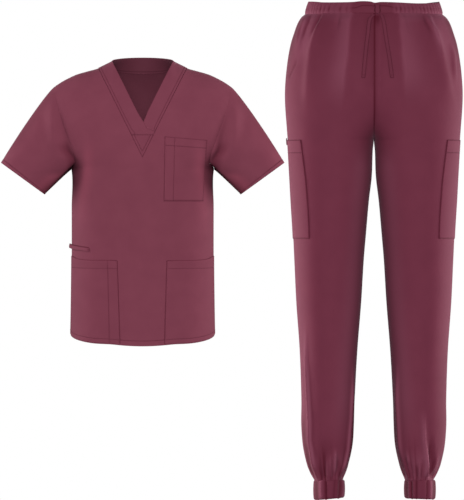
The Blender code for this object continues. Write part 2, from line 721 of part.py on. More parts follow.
def build_top_patches(skins):
    def chest(u, v):
        pocket = CHEST_POCKET
        low_x = mix(pocket.inner_low, pocket.outer_low, u)
        top_x = mix(pocket.inner_top, pocket.outer_top, u)
        top_z = mix(pocket.top_in, pocket.top_out, u)
        return chest_point(mix(low_x, top_x, v), mix(pocket.low, top_z, v))

    patch("chest_pocket", chest, body_axis, CHEST_POCKET.columns, CHEST_POCKET.rows,
          PATCH_LIFT, PATCH_WALL, skins)
    for pocket in LOWER_POCKETS:
        def lower(u, v, pocket=pocket):
            inner = body_angle(mix(pocket.inner_low, pocket.inner_top, v), pocket.top_in)
            angle = mix(SIDE_SEAM_ANGLE, inner, u)
            side_part = 1 - oval(angle, BODY_POWER)[1]
            top = mix(pocket.top_in, pocket.top_side, side_part)
            low = hem_height(angle) + POCKET_HEM_CLEARANCE
            return body_point(pocket.side, FRONT, angle, mix(low, top, v))

        patch("lower_pocket_" + SIDE_NAMES[pocket.side], lower, body_axis,
              LOWER_POCKET_COLUMNS, LOWER_POCKET_ROWS, PATCH_LIFT, PATCH_WALL, skins)

    def loop(u, v):
        angle = mix(SIDE_SEAM_ANGLE, body_angle(LOOP_END_X, LOOP_END_Z), u)
        z = mix(LOOP_SIDE_Z, LOOP_END_Z, u) + LOOP_HEIGHT * (v - 0.5)
        point = body_point(LEFT, FRONT, angle, z)
        away = (point - body_axis(point)).normalized()
        return point + away * LOOP_SIDE_PROUD * MM * (1 - u) ** 2

    patch("side_loop", loop, body_axis, LOOP_COLUMNS, LOOP_ROWS, PATCH_LIFT, PATCH_WALL, skins)


def build_trousers():
    sheets = {}
    for side in (LEFT, RIGHT):
        for face in (FRONT, BACK):
            bm = sheet([trouser_rows(side, face)])
            turn_out(bm, leg_axis(side))
            sheets["trouser_%s_%s" % (FACE_NAMES[face], SIDE_NAMES[side])] = bm
    normals = shared_normals(sheets.values())
    skins = {name: BVHTree.FromBMesh(bm) for name, bm in sheets.items()}
    for name, bm in sheets.items():
        make_wall(bm, normals, WALL, level_edges=(WAIST_Z, ANKLE_Z))
        finish(name, bm)
    band = sheet([[waistband_ring(row) for row in WAISTBAND_ROWS]], closed=True)
    turn_out(band, trousers_axis)
    ends = [WAISTBAND_LOW_Z + WAISTBAND_ROWS[end].rise for end in (0, -1)]
    make_wall(band, shared_normals([band]), WAISTBAND_WALL, level_edges=ends)
    finish("waistband", band)
    for side in (LEFT, RIGHT):
        cuff = sheet([[cuff_ring(side, row) for row in CUFF_ROWS]], closed=True)
        turn_out(cuff, leg_axis(side))
        ends = [CUFF_ROWS[end].z for end in (0, -1)]
        make_wall(cuff, shared_normals([cuff]), CUFF_WALL, level_edges=ends)
        finish("cuff_" + SIDE_NAMES[side], cuff)
    build_trouser_patches(skins)
    build_drawstring([skins["trouser_front_left"], skins["trouser_front_right"]])


def girth_share(side, face, girth, z):
    """The share of the leg's half-round that lies a given girth from the outer seam."""
    length, share, step = 0.0, 0.0, 0.01
    here = leg_point(side, face, 0, z)
    while length < girth * MM:
        share += step
        there = leg_point(side, face, share, z)
        length += (there - here).length
        here = there
    return share


def side_point(side, share, z):
    """A point of the leg near its outer seam: the front's shares are below 0."""
    return leg_point(side, FRONT if share < 0 else BACK, abs(share), z)


def build_trouser_patches(skins):
    middle = (CARGO_TOP_Z + CARGO_LOW_Z) / 2
    for side in (LEFT, RIGHT):
        front_share = girth_share(side, FRONT, CARGO_FRONT_REACH, middle)
        back_share = girth_share(side, BACK, CARGO_BACK_REACH, middle)

        def cargo(u, v, side=side, front_share=front_share, back_share=back_share):
            z = mix(CARGO_LOW_Z, CARGO_TOP_Z, v)
            return side_point(side, mix(-front_share, back_share, u), z)

        below = [skins["trouser_%s_%s" % (name, SIDE_NAMES[side])] for name in FACE_NAMES.values()]
        patch("cargo_pocket_" + SIDE_NAMES[side], cargo, leg_axis(side), CARGO_COLUMNS,
              CARGO_ROWS, CARGO_LIFT, PATCH_WALL, below)

    def tab(u, v):
        share = mix(-TAB_FRONT_SHARE, TAB_BACK_SHARE, u)
        return side_point(LEFT, share, mix(TAB_LOW_Z, TAB_TOP_Z, v))

    patch("side_tab", tab, leg_axis(LEFT), TAB_COLUMNS, TAB_ROWS, TAB_LIFT, TAB_WALL)


def build_drawstring(skins):
    for side, route in TAPES.items():
        def tape(u, v, route=route):
            z = mix(route[-1].z, route[0].z, v)
            x = TROUSERS_X + follow(route, "x", z) + TAPE_WIDTH * (u - 0.5)
            return Vector((x, -follow(HIPS, "front", z), z)) * MM

        patch("drawstring_" + SIDE_NAMES[side], tape, trousers_axis, 1, TAPE_ROWS, TAPE_LIFT,
              TAPE_THICKNESS, skins, TAPE_COLOUR)
    bm = bmesh.new()
    bmesh.ops.create_cube(bm, size=1)
    middle_x = (TAPES[LEFT][0].x + TAPES[RIGHT][0].x) / 2
    for vert in bm.verts:
        z = mix(KNOT_LOW_Z, KNOT_TOP_Z, vert.co.z + 0.5)
        band = HIPS[0].front + follow(WAISTBAND_ROWS, "out", z - WAISTBAND_LOW_Z, by="rise")
        y = band + KNOT_LIFT + KNOT_THICKNESS * (0.5 - vert.co.y)
        vert.co = Vector((TROUSERS_X + middle_x + 2 * KNOT_HALF_WIDTH * vert.co.x, -y, z)) * MM
    bmesh.ops.bevel(bm, geom=bm.edges[:], offset=KNOT_EDGE * MM, segments=2, profile=0.5,
                    affect="EDGES", material=-1)
    finish("drawstring_knot", bm, TAPE_COLOUR)


def main():
    for item in list(bpy.data.objects):
        bpy.data.objects.remove(item)
    build_top()
    build_trousers()


main()
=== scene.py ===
"""The looks of a set of medical scrubs: a V-neck top and cargo jogger trousers.

Each piece of cloth is laid on the surface that its CAD solid has, with a finer grid and with
its folds, hems, seams and stitches. The tables are in millimetres, and MM turns them to metres.
+Z is up, the wearer faces -Y, and "left" is at -X.
"""
import json
from functools import partial

import bmesh
import bpy
import numpy as np
from mathutils import Matrix, Vector

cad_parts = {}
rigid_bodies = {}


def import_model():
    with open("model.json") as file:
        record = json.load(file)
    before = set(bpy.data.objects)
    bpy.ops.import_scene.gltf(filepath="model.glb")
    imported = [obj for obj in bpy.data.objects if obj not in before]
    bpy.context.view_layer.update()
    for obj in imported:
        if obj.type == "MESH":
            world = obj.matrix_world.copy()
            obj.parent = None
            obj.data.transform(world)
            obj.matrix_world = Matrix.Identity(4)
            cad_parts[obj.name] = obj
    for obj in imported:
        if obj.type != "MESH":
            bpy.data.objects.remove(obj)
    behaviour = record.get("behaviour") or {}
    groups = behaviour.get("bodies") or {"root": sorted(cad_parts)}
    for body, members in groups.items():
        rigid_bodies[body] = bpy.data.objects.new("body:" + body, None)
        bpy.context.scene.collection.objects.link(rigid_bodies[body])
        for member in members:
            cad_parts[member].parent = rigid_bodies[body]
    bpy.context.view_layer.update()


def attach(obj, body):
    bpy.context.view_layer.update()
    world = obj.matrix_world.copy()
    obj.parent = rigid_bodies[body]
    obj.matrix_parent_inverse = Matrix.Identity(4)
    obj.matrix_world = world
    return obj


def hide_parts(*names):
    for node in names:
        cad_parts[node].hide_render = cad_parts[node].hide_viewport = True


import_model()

MM = 0.001
# Keeps a division by a length from failing where the length is zero.
TINY = 1e-12
LEFT, RIGHT = -1, 1
FRONT, BACK = -1, 1
SIDE_NAMES = {LEFT: "left", RIGHT: "right"}
FACE_NAMES = {FRONT: "front", BACK: "back"}


def table(columns, rows):
    """A table's columns by name, its rows in order of the first column."""
    return dict(zip(columns.split(), np.array(sorted(rows), float).T))


# --- the garment's measures, as in the part's source ---

BODY = table("z half front back", [
    (-622, 157.5, 121, 124), (-560, 156, 119, 120), (-435, 154.5, 118, 114),
    (-320, 154.5, 122, 116), (-237, 155, 126, 121), (-211, 172, 126, 123),
    (-185, 190, 126, 124), (-152, 206, 125, 124), (-120, 219, 124, 124),
    (-87, 228, 123, 123), (-59, 231, 122, 122), (20, 231, 120, 120)])
BODY_POWER = 2.4
SHOULDER_POWER = {FRONT: 2.1, BACK: 2.2}
CREST = table("x z", [
    (0, 14), (30, 12), (60, 2.5), (75, -7), (97, -17.2), (120, -23.7), (143, -30.4),
    (160, -38), (175, -46), (187, -53.8), (194, -59)])
ARMHOLE = table("z x", [
    (-237, 154.5), (-224, 146.5), (-205, 149), (-180, 157.5), (-150, 168.5), (-122, 178),
    (-99, 184.5), (-81, 188.8), (-68.5, 191.6), (-59, 194)])
# Rows from the armpit up to the shoulder: their heights at the armhole, the front's neck
# seam and the back's centre line.
UPPER = table("row armhole neck back", [
    (0, -237, -237, -237), (1, -224, -212, -213), (2, -205, -187, -188),
    (3, -180, -162.5, -162), (4, -150, -128, -136), (5, -122, -95, -111),
    (6, -99, -66, -88), (7, -81, -43, -68), (8, -68.5, -27, -51), (9, -61.2, -18.8, -38),
    (10, -59, -16.2, -29)])
LAST = 10
ARMPIT_Z, SHOULDER_X, SHOULDER_Z, BACK_NECK_Z = -237, 194, -59, -29
HEM_Z, HEM_SIDE_RISE = -620, 27.5
NECK_POINT_X, NECK_POINT_Z, V_POINT_Z = 96.8, -16.2, -212
BAND_WIDTH = 34
# The back neck band's free edge lies this far above its ends and behind them.
BACK_NECK_TOP_RISE, BACK_NECK_TOP_DEPTH = 8, 60
SLEEVE_TIP, SLEEVE_LOW, SLEEVE_HEM_HALF_DEPTH = (308.2, -222.5), (213.5, -291.2), 57
# Slants in degrees below level, and handle lengths, of the curve along the sleeve.
SLEEVE_TOP_START, SLEEVE_TOP_END = (41.2, 27.2), (59.6, 60.5)
SLEEVE_UNDER_START, SLEEVE_UNDER_END = (38, 20), (43, 24)

TROUSERS_X = 502.6
WAIST_Z, FORK_TOP_Z, CROTCH_Z, THIGH_Z, ANKLE_Z = 99.4, -40, -172.5, -369.8, -911.4
HIPS = table("z half front back", [
    (99.4, 150, 98, 108), (93, 158, 102, 112), (80, 166, 107, 117), (60.9, 173, 112, 123),
    (34.8, 181, 117, 130), (-4.4, 188, 121, 138), (-56.6, 193, 123, 143),
    (-100, 193, 122, 142), (-172.5, 187.5, 117, 133), (-252.3, 182.8, 108, 121),
    (-304.5, 180, 101, 111), (-369.8, 176, 94, 101)])
HIP_POWER = 2.2
LEGS = table("z outer inner front back", [
    (-40, 193.5, 0, 116, 132), (-172.5, 187.5, 0, 112, 124), (-196, 186, 2.2, 109, 120),
    (-252.3, 182.8, 4.4, 104, 114), (-304.5, 180, 10.6, 99, 108),
    (-369.8, 176, 16.3, 94, 101), (-435, 172.9, 21.8, 88, 93), (-526.4, 168.6, 27.4, 81, 84),
    (-630.8, 161.2, 35.7, 75, 79), (-739.5, 157.6, 41.6, 68, 74), (-787.4, 158, 43, 65, 71),
    (-826.5, 155.6, 45, 62, 67), (-852.6, 151.8, 49, 59, 63), (-878.7, 144.8, 56, 53, 56),
    (-891.8, 139.4, 60.5, 48, 50), (-904.8, 132.8, 66, 43, 44), (-911.4, 129.6, 67.6, 41, 42)])
LEG_POWER, INNER_POWER = 2.15, 5
CUFF_CENTRE_X = 98.6


# --- small mathematics ---

def follow(rows, column, at):
    """Smooth value of a table's column at values of its first column."""
    x, y = next(iter(rows.values())), rows[column]
    at = np.clip(np.asarray(at, float), x[0], x[-1])
    i = np.clip(np.searchsorted(x, at, side="right") - 1, 0, len(x) - 2)
    place = np.arange(len(x))
    before, after = np.maximum(place - 1, 0), np.minimum(place + 1, len(x) - 1)
    slope = (y[after] - y[before]) / (x[after] - x[before])
    span = x[i + 1] - x[i]
    t = (at - x[i]) / span
    return ((2 * t ** 3 - 3 * t ** 2 + 1) * y[i] + (t ** 3 - 2 * t ** 2 + t) * slope[i] * span
            + (3 * t ** 2 - 2 * t ** 3) * y[i + 1] + (t ** 3 - t ** 2) * slope[i + 1] * span)


def mix(a, b, t):
    return a + (b - a) * t


def ease(t):
    """0 to 1 with a soft start and end."""
    t = np.clip(t, 0, 1)
    return t * t * (3 - 2 * t)


def bell(distance, width):
    """1 at a line, and 0 far from it."""
    return np.exp(-(distance / width) ** 2)


def oval(angle, power):
    """Unit oval at an angle in degrees: how far across, and how deep."""
    across, deep = np.cos(np.radians(angle)), np.sin(np.radians(angle))
    return np.sign(across) * np.abs(across) ** (2 / power), np.abs(deep) ** (2 / power)


def oval_angle(across, power):
    return np.degrees(np.arccos(np.clip(across, 0, 1) ** (power / 2)))


def points(x, y, z):
    return np.stack(np.broadcast_arrays(x, y, z), axis=-1).astype(float)


def fold(line, width, height, fade_in=0.02, fade_out=0.6, outer=None, shade=0.0):
    """A ridge along a line of (distance from the centre line, height) places, or a trough
    with a negative height. Its width is half its span towards the centre line, and outer is
    the same away from it. It dies away over a part of its length at each end. Its shade is
    painted shade on the cloth, or painted light where it is negative.
    """
    x, z = np.array(sorted(line, key=lambda place: -place[1]), float).T
    return {"x": x, "z": z, "width": width, "outer": outer or width, "height": height,
            "in": fade_in, "out": fade_out, "shade": shade}


def folds_at(folds, x, z, what="height"):
    """Sum of the folds' heights, or shades, at places on a panel."""
    total = np.zeros(np.broadcast(x, z).shape)
    for crease in folds:
        along = (crease["z"][0] - z) / (crease["z"][0] - crease["z"][-1])
        away = x - np.interp(-z, -crease["z"], crease["x"])
        fade = ease(along / crease["in"]) * ease((1 - along) / crease["out"])
        width = np.where(away > 0, crease["outer"], crease["width"])
        total += crease[what] * bell(away, width) * fade
    return total


# The creases' shades are painted shade on the cloth, or painted light where they are negative.
TOP_CREASES = {
    FRONT: [
        # The sleeve folds under at the armpit, with painted shade in the crease.
        fold([(184, -62), (182, -110), (172, -160), (163, -196), (150, -216), (143, -240)],
             11, -6, 0.6, 0.02, outer=14, shade=0.15),
        fold([(170, -170), (162, -197), (150, -215), (147, -244)], 6, -4, 0.4, 0.02, outer=16,
             shade=0.5),
        # Painted shade along the sleeve's outer line as it turns away, and painted light on its
        # underside.
        fold([(195, -60), (215, -90), (240, -125), (270, -168), (300, -212)], 20, 0, 0.1, 0.2,
             outer=22, shade=0.3),
        fold([(180, -240), (192, -252), (204, -264), (216, -276), (226, -290)], 22, 0, 0.3, 0.02,
             outer=18, shade=-1.0),
        fold([(198, -66), (197, -120), (194, -170), (188, -225)], 11, 4, 0.4, 0.5),
        fold([(216, -95), (216, -150), (210, -215)], 11, -3, 0.4, 0.5),
        fold([(144, -225), (150, -255), (152, -300), (154, -345)], 10, -3, 0.1, 0.7, shade=0.2),
        fold([(118, -160), (122, -240), (132, -300), (138, -400)], 14, 2.5, 0.35, 0.8, outer=10,
             shade=-0.8),
    ],
    BACK: [
        fold([(178, -62), (177, -110), (169, -150), (157, -190), (146, -222), (141, -240)],
             12, -10, 0.6, 0.02),
        fold([(198, -66), (197, -120), (193, -170), (186, -225)], 11, 4, 0.4, 0.5),
        fold([(128, -208), (137, -250), (145, -310)], 10, -6, 0.25, 0.7),
        fold([(60, -250), (64, -330), (60, -430)], 26, -3, 0.5, 0.5),
        fold([(100, -230), (108, -330), (104, -480)], 24, 3, 0.5, 0.5),
    ],
}


# The right side's creases lie further out, and near the side seams' plane all die away.
RIGHT_CREASES_SHIFT, CREASE_FADE_DEPTH = 5, 30


def crease_place(x):
    """Distance from the centre line, as the table of creases has it."""
    return np.where(x > 0, x - RIGHT_CREASES_SHIFT, -x)


def crease(face, x, y, z):
    """How far the top's creases move a place out."""
    return folds_at(TOP_CREASES[face], crease_place(x), z) * ease(np.abs(y) / CREASE_FADE_DEPTH)


def crease_shade(face, place):
    """The painted shade, or painted light where it is negative, of the top's creases at places on
    the cloth.
    """
    return folds_at(TOP_CREASES[face], crease_place(place[..., 0]), place[..., 2], "shade")


# --- the top's surface ---

def body_depth(face, x, z, angle):
    """How far the cloth stands from the plane of the side seams."""
    deep = oval(angle, BODY_POWER)[1] * follow(BODY, FACE_NAMES[face], z)
    power = SHOULDER_POWER[face]
    climb = np.clip((z - ARMPIT_Z) / (follow(CREST, "z", x) - ARMPIT_Z), 0, 1)
    return deep * (1 - climb ** power) ** (1 / power)


def body_point(side, face, angle, z):
    """A point of the top's body: angle 0 is the side, 90 the centre line."""
    x = oval(angle, BODY_POWER)[0] * follow(BODY, "half", z)
    deep = body_depth(face, x, z, angle)
    return points(side * x, face * (deep + crease(face, x, deep, z)), z)


def body_angle(x, z):
    return oval_angle(x / follow(BODY, "half", z), BODY_POWER)


def chest_point(x, z):
    """The front's surface at a signed distance x from the centre line."""
    return body_point(np.where(x >= 0, RIGHT, LEFT), FRONT, body_angle(np.abs(x), z), z)


def hem_height(angle):
    """The hem is lowest at the centre line, rises to the sides and waves a little between."""
    across, deep = oval(angle, BODY_POWER)
    wave = 1.6 * bell(across - 0.45, 0.16) - 1.0 * bell(across, 0.2)
    return HEM_Z + HEM_SIDE_RISE * (1 - deep) + wave


def neck_seam_x(z):
    return np.maximum(NECK_POINT_X * (z - V_POINT_Z) / (NECK_POINT_Z - V_POINT_Z), 0)


def armhole_start(row):
    """Where a row leaves the armhole, as an angle and a height."""
    z, first_z = follow(UPPER, "armhole", row), UPPER["armhole"][1]
    first = float(body_angle(follow(ARMHOLE, "x", first_z), first_z))
    return np.where(row < 1, first * row, body_angle(follow(ARMHOLE, "x", z), z)), z


def top_rise(face, t):
    """How far a panel's top edge lies above the straight line between its two ends."""
    neck_x, neck_z = (NECK_POINT_X, NECK_POINT_Z) if face == FRONT else (0, BACK_NECK_Z)
    start = body_angle(SHOULDER_X, SHOULDER_Z)
    angle, line = mix(start, body_angle(neck_x, neck_z), t), mix(SHOULDER_Z, neck_z, t)
    x = oval(angle, BODY_POWER)[0] * follow(BODY, "half", line)
    neck = mix(BACK_NECK_Z, NECK_POINT_Z, (x / NECK_POINT_X) ** 2) if face == BACK else line
    return np.where(x >= NECK_POINT_X, follow(CREST, "z", x), neck) - line


def panel_point(side, face, t, row):
    """A point of the front or back: t is 0 at the side and 1 at the centre or neck, and row
    is -1 at the hem, 0 at the armpit and LAST at the shoulder."""
    upper = np.maximum(row, 0)
    start_angle, start_z = armhole_start(upper)
    end_z = follow(UPPER, "neck" if face == FRONT else "back", upper)
    end_angle = body_angle(neck_seam_x(end_z), end_z) if face == FRONT else 90
    angle = mix(start_angle, end_angle, t)
    z = mix(start_z, end_z, t) + ease(upper / LAST) * top_rise(face, t)
    z = mix(z, hem_height(angle), np.maximum(-row, 0))
    return body_point(side, face, angle, z)


def back_neck_seam(side, t):
    """The back's neck seam: t is 0 at the shoulder and 1 at the centre line."""
    x = NECK_POINT_X * (1 - t)
    z = mix(BACK_NECK_Z, NECK_POINT_Z, (1 - t) ** 2)
    return body_point(side, BACK, body_angle(x, z), z)


def armhole_point(side, face, row):
    angle, z = armhole_start(row)
    x = oval(angle, BODY_POWER)[0] * follow(BODY, "half", z)
    deep = np.where(row < LAST, body_depth(face, x, z, angle), 0)
    return points(side * x, face * deep, z)


def slanted(side, start, end, share):
    turn = np.radians(mix(start[0], end[0], share))
    length = mix(start[1], end[1], share)
    return points(side * np.cos(turn) * length, 0, -np.sin(turn) * length)


def sleeve_point(side, face, row, along):
    """A point of the sleeve: along is 0 at the armhole and 1 at the hem."""
    turn = np.pi * (1 - row / LAST)
    under = (1 - np.cos(turn)) / 2
    start = armhole_point(side, face, row)
    hem = points(side * mix(SLEEVE_TIP[0], SLEEVE_LOW[0], under),
                 face * SLEEVE_HEM_HALF_DEPTH * np.sin(turn),
                 mix(SLEEVE_TIP[1], SLEEVE_LOW[1], under))
    out = slanted(side, SLEEVE_TOP_START, SLEEVE_UNDER_START, under)
    back = slanted(side, SLEEVE_TOP_END, SLEEVE_UNDER_END, under)
    t = np.asarray(along, float)[..., None]
    place = ((1 - t) ** 3 * start + 3 * t * (1 - t) ** 2 * (start + out)
             + 3 * t ** 2 * (1 - t) * (hem - back) + t ** 3 * hem)
    place[..., 1] += face * crease(face, place[..., 0], place[..., 1], place[..., 2])
    return place


# --- the trousers' surface ---

# Folds die away at the panels' long seams, over these shares of the width.
FOLD_SIDE_MARGIN, FOLD_CENTRE_MARGIN = 0.04, 0.02
HELD_SHARE, HELD_REACH = 0.3, 10


def held(distance):
    """How much of their height the folds have at a distance from the waistband or cuff."""
    return mix(HELD_SHARE, 1, ease(distance / HELD_REACH))


def leg_point(side, face, share, z):
    """A point of the trousers: share is 0 at the outer seam, 1 at the centre or inner seam."""
    share, z = np.broadcast_arrays(np.asarray(share, float), np.asarray(z, float))
    outer, inner = follow(LEGS, "outer", z), follow(LEGS, "inner", z)
    across, depth = oval(180 * share, LEG_POWER)
    centre, half = (outer + inner) / 2, (outer - inner) / 2
    wave = 1 + ankle_wave(side, face, 180 * share, z) / half
    leg_x = centre + half * across * wave
    leg_y = follow(LEGS, FACE_NAMES[face], z) * depth * wave
    across, depth = oval(90 * share, HIP_POWER)
    half, deep = follow(HIPS, "half", z), follow(HIPS, FACE_NAMES[face], z)
    fork = np.clip((FORK_TOP_Z - z) / (FORK_TOP_Z - CROTCH_Z), 0, 1)
    turned = mix(ease((FORK_TOP_Z - z) / (FORK_TOP_Z - THIGH_Z)),
                 1 - np.sqrt(1 - fork * fork), share ** INNER_POWER)
    turned = np.where(z > THIGH_Z, turned, 1)
    x, y = mix(half * across, leg_x, turned), mix(deep * depth, leg_y, turned)
    hip = z > THIGH_Z
    slope_x = np.where(hip, x / half ** 2, (x - centre) / ((outer - inner) / 2) ** 2)
    slope_y = y / np.where(hip, deep, follow(LEGS, FACE_NAMES[face], z)) ** 2
    steep = np.hypot(slope_x, slope_y) + TINY
    margins = (ease(share / FOLD_SIDE_MARGIN) * ease((1 - share) / FOLD_CENTRE_MARGIN)
               * held(np.minimum(z - ANKLE_Z, WAIST_Z - z)))
    height = folds_at(TROUSER_FOLDS[side, face], x, z) * margins
    x, y = x + slope_x / steep * height, y + slope_y / steep * height
    x = np.where((share == 1) & (z >= CROTCH_Z), 0, x)
    y = np.where((share == 0) | ((share == 1) & (z <= CROTCH_Z)), 0, y)
    return points(TROUSERS_X + side * x, face * y, z)


# Where the flat front turns to the side below the waistband.
LEFT_CORNER = [(109, 105), (111.6, 98), (120, 76), (128, 48), (135.5, 22), (140, -22),
               (144, -65), (149, -125)]
RIGHT_CORNER = [(115, 105), (118, 87), (130, 65), (137, 43.5), (145, 11), (151, -22),
                (161, -65), (178, -125)]

# The folds' shades are painted shade on the cloth, or painted light where they are negative.
# Folds that lie alike on both fronts.
BOTH_FRONTS = [
    fold([(100, 105), (100, 76)], 44, 0, 0.02, 0.9, outer=60, shade=-0.45),
    # Painted shade below the waistband.
    fold([(60, 105), (60, -60)], 300, 0, 0.01, 1.0, shade=0.22),
    # Painted light in a band down the inside of the leg.
    fold([(22, -170), (32, -326), (46, -522), (56, -630), (68, -783), (76, -860)], 20, 0, 0.1,
         0.2, shade=-0.42),
]
LEFT_FRONT_FOLDS = BOTH_FRONTS + [
    # The flat front turns to the side at a corner, sharp below the waistband.
    fold(LEFT_CORNER, 24, 7, 0.2, 0.4, outer=11),
    fold(LEFT_CORNER[:6], 7, 3, 0.02, 0.6, outer=5),
    fold([(148, 105), (150.7, 87), (161.6, 61), (166, 32.6), (169, 5)], 6, 4, 0.1, 0.5),
    fold([(137, 100), (141, 87), (144, 78), (148, 70), (152, 56), (158, 40)],
         3, -1.5, 0.1, 0.4, shade=0.6),
    fold([(148, 97), (150.7, 87), (155, 74), (159.5, 56.5), (162.7, 43.5), (168, 20)],
         3, 0, 0.1, 0.4, shade=-0.75),
    fold([(153, 100), (158, 87), (164, 78), (168, 70), (172.5, 56.5), (177, 43.5), (182, 20),
          (187, -20)], 4.5, 0, 0.1, 0.4, shade=0.35),
    fold([(158, 105), (166, 60), (176, 0)], 20, 0, 0.02, 0.6, shade=0.2),
    fold([(164, 85), (168, 76), (177, 50), (184, 20), (189, -33), (192, -60)],
         5, -1, 0.1, 0.2, shade=0.3),
    fold([(134, 105), (142, 80), (151, 43), (158, 11), (160, -30)], 14, 0, 0.01, 0.6, outer=16,
         shade=-0.65),
    fold([(116, 102), (120, 87), (131, 65), (137, 43)], 4, -5, 0.05, 0.5, shade=0.2),
    fold([(50, 105), (55, 87), (57, 65), (60.5, 11), (66, -22), (70, -65), (76, -125)],
         5, 4, 0.02, 0.5, outer=28, shade=-0.62),
    fold([(75, 105), (77, 93), (79, 78), (80, 60)], 4, -3, 0.05, 0.5),
    fold([(10, 105), (9, 0), (5, -125)], 12, -3, 0.05, 0.4, outer=14, shade=0.15),
    # The edge of the hand pocket at the hip, with painted shade in it.
    fold([(165, 4), (172, -12), (180, -28), (186, -44)], 2.2, -2, 0.3, 0.3, shade=0.5),
    # Painted shade where the side turns under, into the cuff.
    fold([(150, -848), (143, -874), (135, -892), (125, -912)], 4, 0, 0.3, 0.02, shade=0.5),
    # Long ridges down the leg, as far as the gathers, with painted light on their crests and
    # painted shade beside them.
    fold([(149, -560), (147, -652), (143, -720), (140, -783), (140, -826), (136, -848),
          (132, -878), (127, -903)], 3.5, 6, 0.4, 0.1, outer=3.5, shade=-0.9),
    fold([(156, -740), (152, -826), (147, -848), (141, -878), (134, -905)],
         5, -2, 0.5, 0.05, shade=0.9),
    fold([(45, -640), (46, -700), (50, -783), (56, -848), (62, -876), (69, -903)],
         3, 5, 0.4, 0.1, shade=-0.8),
    fold([(42, -720), (44, -783), (48, -848), (55, -880)], 4, -4, 0.4, 0.2, shade=0.6),
    # Gathers above the cuff: painted shade in their creases, and painted light on their ridges and
    # over them.
    fold([(96, -836), (96, -912)], 70, 0, 0.6, 0.01, shade=-0.35),
    fold([(105, -812), (108, -860), (106, -912)], 18, -2, 0.5, 0.01, shade=0.35),
    fold([(118, -850), (117, -880), (113, -912)], 3, -1.5, 0.4, 0.01, shade=0.45),
    fold([(109, -840), (108, -870), (106, -912)], 3, -2, 0.4, 0.01, shade=0.5),
    fold([(103, -860), (102, -880), (101, -908)], 2.4, 2, 0.4, 0.1, shade=-0.35),
    fold([(94, -850), (94, -870), (92, -908)], 3.4, 2, 0.4, 0.1, shade=-0.4),
    fold([(83, -842), (84, -870), (86, -902)], 3.4, 2.5, 0.3, 0.3, shade=-0.6),
    fold([(78, -862), (75, -885), (74, -912)], 4.5, -2.5, 0.4, 0.01, shade=0.45),
    fold([(89, -860), (89, -912)], 2.4, -2, 0.4, 0.01, shade=0.25),
]
RIGHT_FRONT_FOLDS = BOTH_FRONTS + [
    fold(RIGHT_CORNER, 22, 7, 0.2, 0.4, outer=11),
    fold(RIGHT_CORNER[:6], 8, 3, 0.02, 0.6, outer=5, shade=-0.3),
    fold([(150, 105), (158, 82), (173, 50), (180, 20), (186, -20)], 5, -1, 0.05, 0.5,
         shade=0.4),
    fold([(138, 105), (148, 62), (158, 20), (168, -20)], 15, 0, 0.01, 0.6, outer=22,
         shade=-0.55),
    fold([(122, 100), (126.7, 87), (129.8, 78), (132, 70), (136.4, 56.5), (140.7, 43.5),
          (146, 20)], 3, 0, 0.1, 0.4, shade=-0.7),
    fold([(155, 100), (160.3, 87), (164.6, 78), (169, 70), (173.4, 56.5), (177.7, 43.5),
          (183, 20), (188, -20)], 4.5, 0, 0.1, 0.4, shade=0.35),
    fold([(110, 105), (112, 87), (122, 65), (128, 43)], 6, -4, 0.02, 0.6, shade=0.25),
    fold([(57, 105), (58, 87), (58, 65), (62, 43), (63, 11), (67, -22), (74, -110)],
         5, 4, 0.02, 0.5, outer=40, shade=-0.55),
    fold([(60, 102), (63, 87), (68, 65), (74, 43)], 4, 2, 0.05, 0.6),
    fold([(166, 40), (172, 11), (174, -22), (178, -60)], 5, 3.5, 0.3, 0.4),
    # A strip beside the centre seam stands up a little, and the seam lies beside it in painted
    # shade.
    fold([(2, 105), (2, 40), (1.5, -60), (1, -150)], 2.5, -2.0, 0.02, 0.1, shade=0.3),
    fold([(14, 105), (13, 40), (10, -60), (7, -140)], 6, 2.5, 0.02, 0.2),
    # Shade below the knot.
    fold([(7, 99), (7, 88), (6, 70)], 6, -2, 0.05, 0.7, shade=0.6),
    # A deep fold pulls in above the cuff, with painted light on its ridge and painted shade in its
    # trough.
    fold([(107, -750), (108, -783), (109, -826), (112, -848), (117, -878), (115, -908)],
         7, 6, 0.4, 0.05, outer=4, shade=-0.6),
    fold([(121, -800), (124, -848), (127, -878), (126, -912)], 6, -9, 0.7, 0.01, shade=0.7),
    fold([(49, -640), (50, -740), (55, -830), (62, -885)], 4, 4, 0.4, 0.2, shade=-0.5),
    fold([(43, -740), (47, -840), (58, -895)], 3.5, -2, 0.4, 0.2, shade=0.4),
    fold([(160, -560), (154, -760), (150, -860), (138, -905)], 16, 0, 0.4, 0.1, shade=0.35),
    fold([(149, -850), (143, -885), (135, -908)], 4, -3, 0.4, 0.05, shade=0.4),
    fold([(54, -858), (60, -880), (67, -905)], 3, 0, 0.3, 0.05, shade=0.6),
    # Gathers above the cuff: painted shade in their creases, and painted light on their ridges and
    # over them.
    fold([(96, -836), (96, -912)], 70, 0, 0.6, 0.01, shade=-0.45),
    fold([(66, -860), (71, -888), (77, -908)], 3, -2.5, 0.3, 0.02, shade=0.55),
    fold([(74, -866), (79, -892), (84, -910)], 3, -2.5, 0.3, 0.02, shade=0.55),
    fold([(68, -840), (77, -885), (88, -910)], 2.6, 1.5, 0.4, 0.1, shade=-0.3),
    fold([(93, -874), (93, -912)], 3.5, -2.5, 0.4, 0.01, shade=0.4),
    fold([(107, -862), (106, -912)], 4.5, -2.5, 0.4, 0.01, shade=0.35),
    fold([(99, -880), (99, -912)], 3, 1.5, 0.4, 0.01, shade=-0.1),
]
